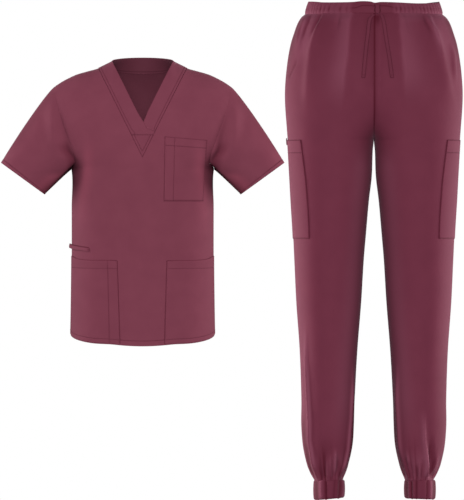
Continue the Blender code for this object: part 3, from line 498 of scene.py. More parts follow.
LEFT_BACK_FOLDS = [
    fold([(50, 105), (75, -60)], 13, 6), fold([(96, 105), (120, -20)], 10, 6),
    fold([(132, 105), (160, 10)], 8, 5.5), fold([(114, 105), (132, 40)], 7, -5),
    fold([(30, 105), (36, 30)], 8, -4), fold([(74, 105), (92, 20)], 8, -4),
    fold([(40, -330), (70, -380), (110, -400)], 18, -3, 0.4, 0.4),
    fold([(120, -700), (100, -790), (96, -870)], 10, 4, 0.4, 0.3),
]
RIGHT_BACK_FOLDS = [
    fold([(42, 105), (62, -70)], 13, 6), fold([(90, 105), (116, -30)], 10, 6),
    fold([(130, 105), (158, 0)], 8, 5.5), fold([(108, 105), (128, 40)], 7, -5),
    fold([(22, 105), (30, 30)], 8, -4), fold([(68, 105), (86, 20)], 8, -4),
    fold([(44, -320), (74, -372), (112, -396)], 18, -3, 0.4, 0.4),
    fold([(112, -690), (94, -790), (92, -870)], 10, 4, 0.4, 0.3),
]
TROUSER_FOLDS = {(LEFT, FRONT): LEFT_FRONT_FOLDS, (RIGHT, FRONT): RIGHT_FRONT_FOLDS,
                 (LEFT, BACK): LEFT_BACK_FOLDS, (RIGHT, BACK): RIGHT_BACK_FOLDS}
ANKLE_WAVES, ANKLE_WAVE_HEIGHT, ANKLE_WAVE_REACH = 4, 2.0, 62
GATHERS, GATHER_REACH, GATHER_HEIGHT = 22, 84, {FRONT: 1.2, BACK: 5.0}


def pinched(turn, count, wander, phase=0.0):
    """Gathers round a turn in radians, count of them all round: 1 on a puff, 0 in a crease."""
    spread = turn * count / 2 + wander * np.sin(turn) * np.sin(3 * turn + phase)
    return np.abs(np.sin(spread)) ** 0.7


def ankle_gathers(side, face, angle, z):
    """How strongly the cloth above the cuff is gathered, and its creases."""
    turn = np.radians(angle)
    reach = GATHER_REACH * (1 + 0.5 * np.sin(turn) * np.sin(turn * 7 + 2 * side + face))
    return (ease(1 - (z - ANKLE_Z) / reach), pinched(turn, GATHERS, 0.8, side + face))


def ankle_wave(side, face, angle, z):
    """Gathers above the cuff: broad ones, and finer ones that die away sooner."""
    turn = np.radians(angle)
    broad = ease(1 - (z - ANKLE_Z) / ANKLE_WAVE_REACH) * np.cos(turn * 2 * ANKLE_WAVES)
    strength, crease = ankle_gathers(side, face, angle, z)
    # Both faces are gathered alike at the seams that join them.
    tall = mix(GATHER_HEIGHT[FRONT], GATHER_HEIGHT[face], ease(3 * np.sin(turn)))
    wave = ANKLE_WAVE_HEIGHT * broad + tall * strength * (crease - 0.8)
    return wave * held(z - ANKLE_Z)


# --- cloth from grids ---

# Places closer than the first are welded, and faces smaller than the second are closed up.
WELD, SPECK = 0.03 * MM, 0.001 * MM


def stations(length, step, marks=(), fine=0.8):
    """Places from 0 to 1 along a length, a step apart, and closer together at each mark."""
    places = list(np.linspace(0, length, max(int(round(length / step)), 1) + 1))
    for mark in marks:
        places += [mark + fine * k for k in range(-3, 4)]
    places = sorted(p for p in places if 0 <= p <= length)
    kept = [places[0]]
    for place in places[1:]:
        if place - kept[-1] > fine * 0.6:
            kept.append(place)
    kept[-1] = length
    return np.array(kept) / length


def seams(lines, rise=0.0):
    """Height of cloth with grooves along lines of (distance, depth, width), and the painted shade
    in the grooves.
    """
    height, dark = rise, 0.0
    for distance, depth, width in lines:
        groove = bell(distance, width)
        height = height - depth * groove
        dark = np.maximum(dark, groove * min(depth / 0.8, 1))
    return height, dark


def lay_grid(bm, across, along, surface, relief, axis, pin=None):
    """Add a grid of cloth whose points are surface(u, v), with the height outwards and the
    painted shade, or painted light where it is negative, that relief(u, v) gives. Outwards is
    away from axis(place). pin(u, v, place) puts edges back into their seams. The UVs are
    metres along the cloth.
    """
    uv = bm.loops.layers.uv.verify()
    seam = bm.verts.layers.float.get("seam") or bm.verts.layers.float.new("seam")
    before = len(bm.faces)
    made = bmesh.ops.create_grid(bm, x_segments=len(across) - 1, y_segments=len(along) - 1,
                                 size=0.5)["verts"]
    u, v = np.meshgrid(across, along)
    place = surface(u, v)
    run_u, run_v = np.gradient(place, axis=1), np.gradient(place, axis=0)
    normal = np.cross(run_u, run_v)
    normal /= np.linalg.norm(normal, axis=-1, keepdims=True) + TINY
    flipped = np.mean(np.sum(normal * (place - axis(place)), axis=-1)) < 0
    if flipped:
        normal = -normal
    height, dark = [np.broadcast_to(part, u.shape) for part in relief(u, v)]
    place = place + normal * height[..., None]
    if pin:
        place = pin(u, v, place)
    # The mean width and length of the cloth as laid.
    width, length = [np.linalg.norm(np.diff(place, axis=way), axis=-1).sum(axis=way).mean() * MM
                     for way in (1, 0)]
    flat_places = {}
    for vert, point, a, b, shade in zip(made, place.reshape(-1, 3) * MM, u.ravel() * width,
                                        v.ravel() * length, dark.ravel()):
        vert.co = point
        vert[seam] = shade
        flat_places[vert] = (a, b)
    bm.faces.ensure_lookup_table()
    new_faces = bm.faces[before:]
    for face in new_faces:
        for loop in face.loops:
            loop[uv].uv = flat_places[loop.vert]
    if flipped:
        bmesh.ops.reverse_faces(bm, faces=new_faces)


def to_object(name, bm, material):
    mesh = bpy.data.meshes.new(name)
    bm.to_mesh(mesh)
    bm.free()
    mesh.shade_smooth()
    mesh.materials.append(material)
    piece = bpy.data.objects.new(name, mesh)
    bpy.context.collection.objects.link(piece)
    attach(piece, "root")
    return piece


def cloth(name, node, grids, material, wall=1.0):
    """A piece of cloth from grids that are welded where they meet, each of (across, along,
    surface, relief, axis, pin). Its wall in mm lies inwards. It takes the place of its node.
    """
    bm = bmesh.new()
    for grid in grids:
        lay_grid(bm, *grid)
    bmesh.ops.remove_doubles(bm, verts=bm.verts, dist=WELD)
    bmesh.ops.dissolve_degenerate(bm, edges=bm.edges, dist=SPECK)
    for edge in bm.edges:
        edge.smooth = not edge.is_boundary
    piece = to_object(name, bm, material)
    thickness = piece.modifiers.new("wall", "SOLIDIFY")
    thickness.thickness = wall * MM
    thickness.offset = -1
    # The inner faces take the wrong side's deeper twill, which paints the shade inside the top.
    if material in (TOP_TWILL, NECK_TWILL):
        piece.data.materials.append(WRONG_SIDE)
        thickness.material_offset = 1
    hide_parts(node)
    return piece


def body_axis(place):
    return place * (0, 0, 1)


def trousers_axis(place):
    return place * (0, 0, 1) + (TROUSERS_X, 0, 0)


def leg_axis(side):
    return lambda place: place * (0, 0, 1) + (TROUSERS_X + side * CUFF_CENTRE_X, 0, 0)


# --- stitches ---

STITCH_PITCH, STITCH_LENGTH = 3.4, 2.7
# Real topstitching is 0.4 mm wide. It is drawn as wide as it needs to show.
STITCH_WIDTH, STITCH_HEIGHT = 0.8, 0.3


def sew(name, lines, material):
    """Rows of stitches along lines, each a line of places and the normals there."""
    bm = bmesh.new()
    for place, normal in lines:
        length = np.concatenate([[0], np.cumsum(np.linalg.norm(np.diff(place, axis=0), axis=1))])
        count = int(length[-1] / STITCH_PITCH)
        for i in range(count):
            at = (i + 0.5) * length[-1] / count
            spot, up, ahead = [
                Vector([np.interp(at + shift, length, values[:, k]) for k in range(3)])
                for values, shift in ((place, 0), (normal, 0), (place, 0.5))]
            run = (ahead - spot).normalized()
            side = up.cross(run).normalized()
            up = run.cross(side)
            turn = Matrix((run * STITCH_LENGTH / 2, side * STITCH_WIDTH / 2,
                           up * STITCH_HEIGHT)).transposed()
            at_place = Matrix.Translation(spot * MM) @ (turn * MM).to_4x4()
            bmesh.ops.create_icosphere(bm, subdivisions=1, radius=1, matrix=at_place)
    return to_object(name, bm, material)


def line_on(surface, axis, u, v, lift=0.15):
    """A stitch line on a surface: its places and normals along u and v."""
    u, v = np.broadcast_arrays(np.asarray(u, float), np.asarray(v, float))
    step = 0.004
    place = surface(u, v)
    run_u = surface(np.minimum(u + step, 1), v) - surface(np.maximum(u - step, 0), v)
    run_v = surface(u, np.minimum(v + step, 1)) - surface(u, np.maximum(v - step, 0))
    normal = np.cross(run_u, run_v)
    normal /= np.linalg.norm(normal, axis=-1, keepdims=True) + TINY
    normal *= np.sign(np.sum(normal * (place - axis(place)), axis=-1, keepdims=True))
    return place + normal * lift, normal


# --- materials ---

def linear(code):
    """A linear colour from an sRGB hex code."""
    parts = [int(code[i:i + 2], 16) / 255 for i in (1, 3, 5)]
    return tuple(c / 12.92 if c <= 0.04045 else ((c + 0.055) / 1.055) ** 2.4 for c in parts) + (1,)


def add_node(tree, kind, settings=None, links=None):
    """A node with its settings (properties, or sockets by name or number) and links into it."""
    node = tree.nodes.new(kind)
    for key, value in (settings or {}).items():
        if isinstance(key, int) or key in node.inputs:
            node.inputs[key].default_value = value
        else:
            setattr(node, key, value)
    for key, source in (links or {}).items():
        tree.links.new(source, node.inputs[key])
    return node


# Dye takes a little unevenly over some 40 mm. The twill's ribs are 0.5 mm apart, and are drawn
# 1.2 mm apart to show at all.
MOTTLE_SIZE, RIB_PITCH, RIB_HEIGHT, RIB_SLANT = 40 * MM, 1.2 * MM, 0.12 * MM, 0.9
# A wave texture of scale 1 has this many radians of bands to a unit of length.
WAVE_RADIANS = 20
SHEEN_TINT, CLOTH_ROUGHNESS = "#ffcbe3", 0.78


def twill(name, colour, deep_colour, painted_shade_colour, painted_light_colour, sheen=0.05,
          sheen_roughness=0.45, gloss=0.12):
    """Cloth dyed in the piece: its colour varies a little from colour to deep_colour. Painted
    shade in its seams and creases turns it towards the third colour, and painted light on ridges
    and lit sides turns it towards the fourth."""
    material = bpy.data.materials.new(name)
    material.use_nodes = True
    tree = material.node_tree
    shader = tree.nodes["Principled BSDF"]
    for key, value in (("Roughness", CLOTH_ROUGHNESS), ("Specular IOR Level", gloss),
                       ("Sheen Weight", sheen), ("Sheen Roughness", sheen_roughness),
                       ("Sheen Tint", linear(SHEEN_TINT))):
        shader.inputs[key].default_value = value
    place = add_node(tree, "ShaderNodeTexCoord")
    mottle = add_node(tree, "ShaderNodeTexNoise", {"Scale": 1 / MOTTLE_SIZE, "Detail": 2.0},
                      {"Vector": place.outputs["Object"]})
    uneven = add_node(tree, "ShaderNodeMapRange", {"From Min": 0.3, "From Max": 0.7},
                      {"Value": mottle.outputs["Fac"]})
    dyed = add_node(tree, "ShaderNodeMix",
                    {"data_type": "RGBA", 6: linear(deep_colour), 7: linear(colour)},
                    {"Factor": uneven.outputs["Result"]})
    # Painted shade in seams, grooves and creases, where the seams' layer is above zero.
    seam = add_node(tree, "ShaderNodeAttribute", {"attribute_name": "seam"})
    shaded = add_node(tree, "ShaderNodeMix", {"data_type": "RGBA", 7: linear(painted_shade_colour)},
                      {"Factor": seam.outputs["Fac"], 6: dyed.outputs[2]})
    # Painted light on ridges and lit sides, where the layer is below zero.
    painted_light_amount = add_node(tree, "ShaderNodeMath", {"operation": "MULTIPLY", 1: -1},
                      {0: seam.outputs["Fac"]})
    painted_light_mix = add_node(tree, "ShaderNodeMix", {"data_type": "RGBA", 7: linear(painted_light_colour)},
                    {"Factor": painted_light_amount.outputs["Value"], 6: shaded.outputs[2]})
    tree.links.new(painted_light_mix.outputs[2], shader.inputs["Base Color"])
    flat_place = add_node(tree, "ShaderNodeUVMap")
    slanted_place = add_node(tree, "ShaderNodeMapping", {"Rotation": (0, 0, RIB_SLANT)},
                             {"Vector": flat_place.outputs["UV"]})
    ribs = add_node(tree, "ShaderNodeTexWave",
                    {"Scale": 2 * np.pi / (WAVE_RADIANS * RIB_PITCH), "Distortion": 0.6,
                     "Detail": 1.0}, {"Vector": slanted_place.outputs["Vector"]})
    relief = add_node(tree, "ShaderNodeBump", {"Strength": 0.25, "Distance": RIB_HEIGHT},
                      {"Height": ribs.outputs["Fac"]})
    tree.links.new(relief.outputs["Normal"], shader.inputs["Normal"])
    return material


# Scrub twill of polyester, rayon and a little elastane, dyed in the piece and pressed: it is
# smooth and matt, with a fine diagonal rib and hardly any gloss.
TOP_TWILL = twill("scrub_twill_top", "#7a3d4d", "#763a4a", "#571f2e", "#8f4759", 0.02, gloss=0.05)
# The same twill, pressed as trousers: a deeper copy of the top's, whose deeper tone is painted
# shade, with a faint bloom at its turned edges.
TROUSER_TWILL = twill("scrub_twill_trousers", "#6b2e40", "#682c3e", "#4c1020", "#824659", 0.1,
                      sheen_roughness=0.35, gloss=0.09)
# The band is cut along the twill and pressed double, so it looks a little flatter and deeper.
NECK_TWILL = twill("scrub_twill_neckband", "#783c4c", "#743949", "#571f2e", "#8f4759", 0.02,
                   gloss=0.05)
# Spun polyester thread, dyed to match and a little deeper than the cloth; its deeper colour is
# partly painted shade along the stitch lines.
TOP_THREAD = twill("sewing_thread_top", "#612a3a", "#5d2736", "#5d2736", "#672f3f", gloss=0.05)
TROUSER_THREAD = twill("sewing_thread_trousers", "#521c2c", "#4e1a29", "#4e1a29", "#5c2636")
# The tape is trouser twill folded in four and topstitched, so its edges are firm; their darkness
# is painted shade.
TAPE = twill("drawstring_tape", "#662b3c", "#62293a", "#450e1b", "#814758", 0.1, gloss=0.09)
# The twill's wrong side shows its weft, a little greyer; its deeper tone is painted shade inside
# the garment.
WRONG_SIDE = twill("scrub_twill_wrong_side", "#63303e", "#602d3b", "#401622", "#6c3848")


# --- the drawstring ---

KNOT_X, KNOT_HALF_WIDTH, KNOT_THICKNESS, KNOT_LIFT = 7, 6.2, 4.0, 1.25
KNOT_TOP_Z, KNOT_LOW_Z = 120.5, 101.2
TAPE_WIDTH, TAPE_THICKNESS, TAPE_LENGTH = 8.5, 1.4, 140
TAPE_GAP, TAPE_CROWN, TAPE_SWAY, SWAY_RADIANS = 1.3, 0.7, 0.6, 9
TAPE_TOP_Z, TAPE_END_Z = 98.4, -39
TAPES = {
    LEFT: table("z x", [(TAPE_TOP_Z, -1.5), (89, -9.5), (60, -13.5), (20, -18.5),
                        (TAPE_END_Z, -24)]),
    RIGHT: table("z x", [(TAPE_TOP_Z, 15.5), (85, 20), (48, 25.5), (8, 32),
                         (TAPE_END_Z, 38.5)]),
}
CASING_HEIGHT = 26.8
WAISTBAND_ROWS = table("rise out wave", [
    (0, -0.3, 1), (9, -1.6, 0.7), (18.5, -4.6, 0.7), (CASING_HEIGHT, -7.8, 1)])
# The waistband and the cuffs start this far from the panels' edges.
SEAM_GAP = 0.3
WAISTBAND_LOW_Z, CUFF_TOP_Z = WAIST_Z + SEAM_GAP, ANKLE_Z - SEAM_GAP


def tape_surface(side, u, v):
    """The outer face of a free end, which hangs a little off the front and sways along it."""
    z = mix(TAPE_END_Z, TAPE_TOP_Z, v)
    x = TROUSERS_X + follow(TAPES[side], "x", z) + TAPE_WIDTH * (u - 0.5)
    crown = TAPE_CROWN * (1 - (2 * u - 1) ** 2)
    sway = TAPE_SWAY * np.sin(v * SWAY_RADIANS + side) * ease((1 - v) * 6)
    return points(x, -follow(HIPS, "front", z) - TAPE_GAP - TAPE_THICKNESS - crown - sway, z)


def tape_relief(u, v):
    return seams([(u * TAPE_WIDTH, 0.5, 1.0), ((1 - u) * TAPE_WIDTH, 0.5, 1.0),
                  (v * TAPE_LENGTH, 0.5, 1.0), (v * TAPE_LENGTH - 6, 0.3, 0.8)])


def make_drawstring():
    across = stations(TAPE_WIDTH, 1, [0.8, TAPE_WIDTH - 0.8], 0.4)
    for side in (LEFT, RIGHT):
        surface = partial(tape_surface, side)
        end = cloth("drawstring_end_" + SIDE_NAMES[side], "drawstring_" + SIDE_NAMES[side],
                    [(across, stations(TAPE_LENGTH, 2.5, [1, 6]), surface, tape_relief,
                      trousers_axis)], TAPE, TAPE_THICKNESS)
        middle = surface(np.full(30, 0.5), np.linspace(1, 0, 30)) * MM
    bm = bmesh.new()
    bmesh.ops.create_cube(bm, size=1)
    bmesh.ops.subdivide_edges(bm, edges=bm.edges[:], cuts=3, use_grid_fill=True)
    seam = bm.verts.layers.float.new("seam")
    for vert in bm.verts:
        u, d, v = vert.co.x * 2, 0.5 - vert.co.y, vert.co.z + 0.5
        # Painted shade on the knot's two sides.
        vert[seam] = 1.0 if abs(u) > 0.9 else 0.0
        z = mix(KNOT_LOW_Z, KNOT_TOP_Z, v)
        band = HIPS["front"][-1] + float(follow(WAISTBAND_ROWS, "out", z - WAISTBAND_LOW_Z))
        # The knot's two turns bulge at its sides, and its face is rounded.
        bulge = 1 - 0.18 * np.cos(v * 9)
        y = band + KNOT_LIFT + KNOT_THICKNESS * d * (1 - 0.35 * u * u)
        vert.co = Vector((TROUSERS_X + KNOT_X + KNOT_HALF_WIDTH * u * bulge, -y, z)) * MM
    bmesh.ops.recalc_face_normals(bm, faces=bm.faces)
    knot = to_object("drawstring_flat_knot", bm, TAPE)
    round_off = knot.modifiers.new("soft", "SUBSURF")
    round_off.levels = round_off.render_levels = 2
    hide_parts("drawstring_knot")


# --- the top ---

PANEL_WIDTH, LOWER_LENGTH, HEM_FOLD = 245.0, 385.0, 11.5
SLEEVE_LENGTH, SLEEVE_HEM_FOLD = 175.0, 8.0
# A turned hem is a little thicker than the cloth, and a seam's groove is this wide.
HEM_RISE, SEAM_WIDTH = 0.35, 1.5
TOP_ROWS = np.linspace(0, LAST, 5 * LAST + 1)
# Shares along a line of stitches.
ALONG_60, ALONG_80 = np.linspace(0, 1, 60), np.linspace(0, 1, 80)


def hemmed(from_hem, from_seam, seam, shade):
    """Relief of cloth with a turned hem and a seam at its other edge, with painted shade in the
    seam's groove, and the creases' painted shade or painted light.
    """
    height, dark = seams([(from_hem, 0.4, 1.0)], HEM_RISE * (from_hem < 0))
    edge = seam * bell(from_seam, SEAM_WIDTH)
    return height - edge, np.clip(np.maximum(dark, edge) + shade, -1, 1)


def panel_relief(face, u, v):
    # The armhole's seam hardly shows above the armpit.
    return hemmed((v + 1 - HEM_FOLD / LOWER_LENGTH) * LOWER_LENGTH, u * PANEL_WIDTH,
                  mix(0.3, 0.05, ease(v / 2)), crease_shade(face, panel_point(LEFT, face, u, v)))


def make_panels():
    lower = -1 + stations(LOWER_LENGTH, 6.5, [HEM_FOLD])
    rows = np.concatenate([lower[:-1], TOP_ROWS])
    across = stations(PANEL_WIDTH, 4.5, [1])

    def pin(u, v, place):
        place[..., 1] = np.where((u == 0) & (v <= 0), 0, place[..., 1])
        return place

    for face in (FRONT, BACK):
        grids = [(across, rows, partial(panel_point, side, face), partial(panel_relief, face),
                  body_axis, pin) for side in (LEFT, RIGHT)]
        name = FACE_NAMES[face]
        panel = cloth(name + "_panel", "top_" + name, grids, TOP_TWILL)
        sew("hem_stitches_" + name,
            [line_on(grid[2], body_axis, ALONG_80, -1 + HEM_FOLD / LOWER_LENGTH)
             for grid in grids], TOP_THREAD)


def sleeve_surface(side, face, u, v):
    return sleeve_point(side, face, u * LAST, v)


def sleeve_relief(side, face, u, v):
    return hemmed(SLEEVE_LENGTH - SLEEVE_HEM_FOLD - v * SLEEVE_LENGTH, v * SLEEVE_LENGTH,
                  mix(0.2, 0.05, ease(u * LAST / 2)),
                  crease_shade(face, sleeve_surface(side, face, u, v)))


def make_sleeves():
    along = stations(SLEEVE_LENGTH, 4.0, [1, SLEEVE_LENGTH - SLEEVE_HEM_FOLD])
    for side in (LEFT, RIGHT):
        top, under = [sleeve_point(side, FRONT, np.array(row), np.array(0.5))
                      for row in (float(LAST), 0.0)]

        def axis(place, middle=(top + under) / 2):
            return middle

        grids = [(TOP_ROWS / LAST, along, partial(sleeve_surface, side, face),
                  partial(sleeve_relief, side, face), axis) for face in (FRONT, BACK)]
        name = SIDE_NAMES[side]
        sleeve = cloth("short_sleeve_" + name, "sleeve_" + name, grids, TOP_TWILL)
        sew("sleeve_hem_stitches_" + name,
            [line_on(grid[2], axis, ALONG_60, 1 - SLEEVE_HEM_FOLD / SLEEVE_LENGTH)
             for grid in grids], TOP_THREAD)


BAND_STITCH, EDGE_STITCH, BAND_LENGTH = 5.8, 0.4, 190
# The lap's corners on the right, and the height where the left band and the inset meet.
LAP, LAP_Z = [(2.6, -134.9), (10, -149.3), (27.4, -155.2)], -162.5
INSET_HEIGHT = LAP_Z - V_POINT_Z
# The V's slant as a unit vector, from its point to the neck point.
NECK_RUN = np.array([NECK_POINT_X, NECK_POINT_Z - V_POINT_Z])
NECK_RUN /= np.linalg.norm(NECK_RUN)


def on_neck_seam(z):
    return float(neck_seam_x(z)), z


def band_ends(side):
    """The neck seam's and the free edge's places, in rows from the shoulder to the lap."""
    across = np.array([-NECK_RUN[1], NECK_RUN[0]]) * BAND_WIDTH
    seam = [on_neck_seam(z) for z in (NECK_POINT_Z, -18.8, -27, -43, -66, -95, -128)]
    free = [tuple(np.array(place) + across) for place in seam]
    # The left band runs on across the point of the V, and the right one ends under it.
    if side == LEFT:
        seam += [on_neck_seam(z) for z in (-145.7, -152, -158, LAP_Z)]
        free += [(-x, z) for x, z in LAP + [on_neck_seam(LAP_Z)]]
    else:
        seam += [on_neck_seam(-145.7), LAP[2]]
        free += LAP[:2]
    return np.array(seam), np.array(free)


def band_surface(side, u, v):
    seam, free = band_ends(side)
    count = np.arange(len(seam))
    x, z = [mix(np.interp(v * count[-1], count, seam[:, k]),
                np.interp(v * count[-1], count, free[:, k]), u) for k in (0, 1)]
    return chest_point(side * x, z)


def back_band_surface(side, u, v):
    top_x = NECK_POINT_X - NECK_RUN[1] * BAND_WIDTH
    top_z = NECK_POINT_Z + NECK_RUN[0] * BAND_WIDTH
    turn = np.pi / 2 * v
    high = points(side * top_x * np.cos(turn), BACK_NECK_TOP_DEPTH * np.sin(turn),
                  top_z + BACK_NECK_TOP_RISE * np.sin(turn))
    return mix(back_neck_seam(side, v), high, np.asarray(u)[..., None])


def inset_surface(u, v):
    z = mix(V_POINT_Z, LAP_Z, v)
    return chest_point(mix(-1, 1, u) * neck_seam_x(z), z)


def band_relief(side, u, v):
    d = u * BAND_WIDTH
    # The left band's end lies on the right one.
    lap = ease((v - 0.55) / 0.15) if side == LEFT else -ease((v - 0.9) / 0.06)
    return seams([(d, 0.6, 1.2), (d - BAND_STITCH, 0.3, 1.0), (BAND_WIDTH - d, 0.3, 0.8),
                  ((1 - v) * BAND_LENGTH, 0.5, 1.0)],
                 0.6 * ease(v / 0.1) + 0.5 * lap * ease(u * 3))


def back_band_relief(u, v):
    d = u * BAND_WIDTH
    return seams([(d, 0.6, 1.2), (d - BAND_STITCH, 0.3, 1.0)], 0.6 * ease(v / 0.15))


def inset_relief(u, v):
    edge = (1 - np.abs(2 * u - 1)) * neck_seam_x(mix(V_POINT_Z, LAP_Z, v)) * 0.9
    return seams([(edge, 0.6, 1.2), (edge - BAND_STITCH, 0.3, 1.0)], 0.4)


def make_neckbands():
    across = stations(BAND_WIDTH, 3, [0.5, BAND_STITCH, BAND_WIDTH - 1])
    along = stations(BAND_LENGTH, 3, [BAND_LENGTH - 1])
    for side in (LEFT, RIGHT):
        surface, name = partial(band_surface, side), SIDE_NAMES[side]
        band = cloth("neckband_" + name, "neckband_front_" + name,
                     [(across, along, surface, partial(band_relief, side), body_axis)],
                     NECK_TWILL, 1.2)
        rows = [line_on(surface, body_axis, inside / BAND_WIDTH, ALONG_60 * 0.99, lift)
                for inside, lift in ((BAND_STITCH, 0.6), (EDGE_STITCH, 0.5))]
        if side == LEFT:
            rows.append(line_on(surface, body_axis, np.linspace(0.03, 0.97, 30), 0.985, 1.0))
        sew("neckband_stitches_" + name, rows, TOP_THREAD)

    grids = [(stations(BAND_WIDTH, 4, [0.5, BAND_STITCH]), np.linspace(0, 1, 40),
              partial(back_band_surface, side), back_band_relief, body_axis)
             for side in (LEFT, RIGHT)]
    band = cloth("neckband_behind", "neckband_back", grids, NECK_TWILL, 1.2)
    sew("neckband_stitches_behind",
        [line_on(grid[2], body_axis, BAND_STITCH / BAND_WIDTH, ALONG_60, 0.6)
         for grid in grids], TOP_THREAD)

    piece = cloth("neck_point_inset", "neck_inset",
                  [(np.linspace(0, 1, 61), np.linspace(0.002, 1, 50), inset_surface,
                    inset_relief, body_axis)], NECK_TWILL, 1.2)
    # The two rows of stitches run on beside the inset's edges, down to the point.
    rows = [line_on(inset_surface, body_axis, np.linspace(0.02, 0.98, 20), 0.975, 0.5)]
    for side in (LEFT, RIGHT):
        for inside in (EDGE_STITCH, BAND_STITCH):
            z = np.linspace(LAP_Z, V_POINT_Z + inside * 2.6, 30)
            x = np.maximum(neck_seam_x(z) - inside * 1.12, 0)
            share, height = (side * x / neck_seam_x(z) + 1) / 2, (z - V_POINT_Z) / INSET_HEIGHT
            rows.append(line_on(inset_surface, body_axis, share, height, 0.5))
    sew("neck_inset_stitches", rows, TOP_THREAD)


# --- the top's pockets and loop ---

POCKET_LIFT, SIDE_SEAM_ANGLE = 1.2, 3.0
# How far down from its opening a pocket gapes.
GAPE_REACH = 22
# Pockets' widths and heights. The chest pocket's edges have the distances of their two ends
# from the centre line, and the heights there.
CHEST_POCKET, LOWER_POCKET = (96.0, 135.0), (150.0, 182.0)
CHEST_LOW, CHEST_TOP = (46, 131.5, -306.5, -306.5), (48, 140.5, -166, -173.5)
# The lower pockets have the inner edge's distance at its top and foot, and the opening's height
# there and at the side seam. The opening runs level, and turns up near the side seam.
LOWER_EDGES = {LEFT: (53.5, 46.5, -434, -424), RIGHT: (52, 46, -434.5, -424)}
TURN_UP = table("x part", [(110, 0), (124, 0.1), (135, 0.2), (143, 0.4), (149, 0.73), (154, 1)])
LOOP_LENGTH, LOOP_WIDTH, LOOP_GAP = 62.0, 9.5, 5.0
LOOP_SIDE_Z, LOOP_END_X, LOOP_END_Z = -402.5, 115, -411


def chest_surface(u, v):
    low, top = [(mix(*edge[:2], u), mix(*edge[2:], u)) for edge in (CHEST_LOW, CHEST_TOP)]
    return chest_point(mix(low[0], top[0], v), mix(low[1], top[1], v))


def lower_surface(side, u, v):
    inner_top, inner_low, top_in, top_side = LOWER_EDGES[side]
    angle = mix(SIDE_SEAM_ANGLE, body_angle(mix(inner_low, inner_top, v), top_in), u)
    x = oval(angle, BODY_POWER)[0] * follow(BODY, "half", top_in)
    rise = np.interp(x, TURN_UP["x"], TURN_UP["part"]) * (top_side - top_in)
    return body_point(side, FRONT, angle, mix(hem_height(angle) + 2.5, top_in, v)
                      + rise * ease((v - 0.9) * 10))


def loop_surface(u, v):
    angle = mix(SIDE_SEAM_ANGLE, float(body_angle(LOOP_END_X, LOOP_END_Z)), u)
    z = mix(LOOP_SIDE_Z, LOOP_END_Z, u) + LOOP_WIDTH * (v - 0.5)
    place = body_point(LEFT, FRONT, angle, z)
    away = place * (1, 1, 0)
    away /= np.linalg.norm(away, axis=-1, keepdims=True)
    return place + away * (LOOP_GAP * (1 - u) ** 2)[..., None]


def raised(surface, axis, lift):
    """A surface moved outwards by a lift in mm."""
    return lambda u, v: line_on(surface, axis, u, v, lift)[0]


def make_patch(name, node, surface, axis, size, lines, edges=(0.5, 0.5, 0.5, 0.5),
               lift=POCKET_LIFT, wall=1.0, step=3.5, gape=0.0, seam=None,
               along=ALONG_60):
    """A patch whose edges (left, right, low, top) are rounded to depths, and which stands off
    by gape at its top. It has a groove along each line: "u" or "v", then its distance, depth
    and start. Its seam is its stitches' name and the distance of a row at the top.
    """
    width, height = size
    # A line is 0.3 deep and starts at the edge where it doesn't say otherwise.
    lines = [(*line, *(0.3, 0)[len(line) - 2:]) for line in lines]

    def relief(u, v):
        # The grooves at the edges and along the lines carry painted shade, and on the top the
        # creases add their painted shade or light.
        grooves = [(distance, deep, 1.2) for deep, distance in zip(
            edges, (u * width, (1 - u) * width, v * height, (1 - v) * height)) if deep]
        grooves += [((u * width if kind == "u" else v * height) - at, deep, 1.0)
                    for kind, at, deep, _ in lines]
        opening = ease(1 - (1 - v) * height / GAPE_REACH) * ease(u * 5) * ease((1 - u) * 5)
        lifted, dark = seams(grooves, gape * opening)
        if axis is body_axis:
            dark = np.clip(dark + crease_shade(FRONT, surface(u, v)), -1, 1)
        return lifted, dark

    across, up = [stations(whole, step, [0.8, whole - 0.8] + [
        at for kind, at, *_ in lines if kind == way]) for way, whole in zip("uv", size)]
    material, thread = ((TOP_TWILL, TOP_THREAD) if axis is body_axis
                        else (TROUSER_TWILL, TROUSER_THREAD))
    face = raised(surface, axis, lift)
    piece = cloth(name, node, [(across, up, face, relief, axis)], material, wall)
    if seam:
        rows = lines + [("v", height - seam[1], 0, 0)]
        sew(seam[0], [line_on(face, axis, at / width, mix(start, 1, along)) if kind == "u"
                      else line_on(face, axis, mix(start, 1, along), at / height)
                      for kind, at, _, start in rows], thread)


def make_top_pockets():
    width, height = CHEST_POCKET
    make_patch("chest_patch_pocket", "chest_pocket", chest_surface, body_axis, CHEST_POCKET,
               [("v", height - 18.3), ("u", 23), ("u", 1.2), ("v", 1.8), ("u", width - 1.8)],
               edges=(0.4, 0.2, 0.3, 0.4),
               seam=("chest_pocket_stitches", 1.5))
    width, height = LOWER_POCKET
    for side in (LEFT, RIGHT):
        lines = [("v", height - 18.2, 0.15, 0.02), ("v", 9, 0.2), ("u", width - 1)]
        if side == LEFT:
            lines.append(("u", width - 18.6))
        name = SIDE_NAMES[side]
        make_patch("lower_patch_pocket_" + name, "lower_pocket_" + name,
                   partial(lower_surface, side), body_axis, LOWER_POCKET, lines,
                   edges=(0, 0.7, 0, 1.1), gape=1.5,
                   seam=("lower_pocket_stitches_" + name, 1.5))
    make_patch("badge_loop", "side_loop", loop_surface, body_axis, (LOOP_LENGTH, LOOP_WIDTH),
               [("v", 8.2, 0.8), ("u", 3, 0.7), ("u", 59, 0.3)], edges=(0.8, 0.6, 0.15, 0.8),
               lift=1.4, wall=1.2, step=1.5)


# --- the trousers ---

LEG_LENGTH, HALF_GIRTH = 1010.0, 280.0
# The panels' ends run on this far, and turn in by these shares under cuff and waistband.
TUCK, CUFF_TUCK, CASING_TUCK = 6, 0.1, 0.035
GATHER_SHADE = {FRONT: 0.75, BACK: 0.8}


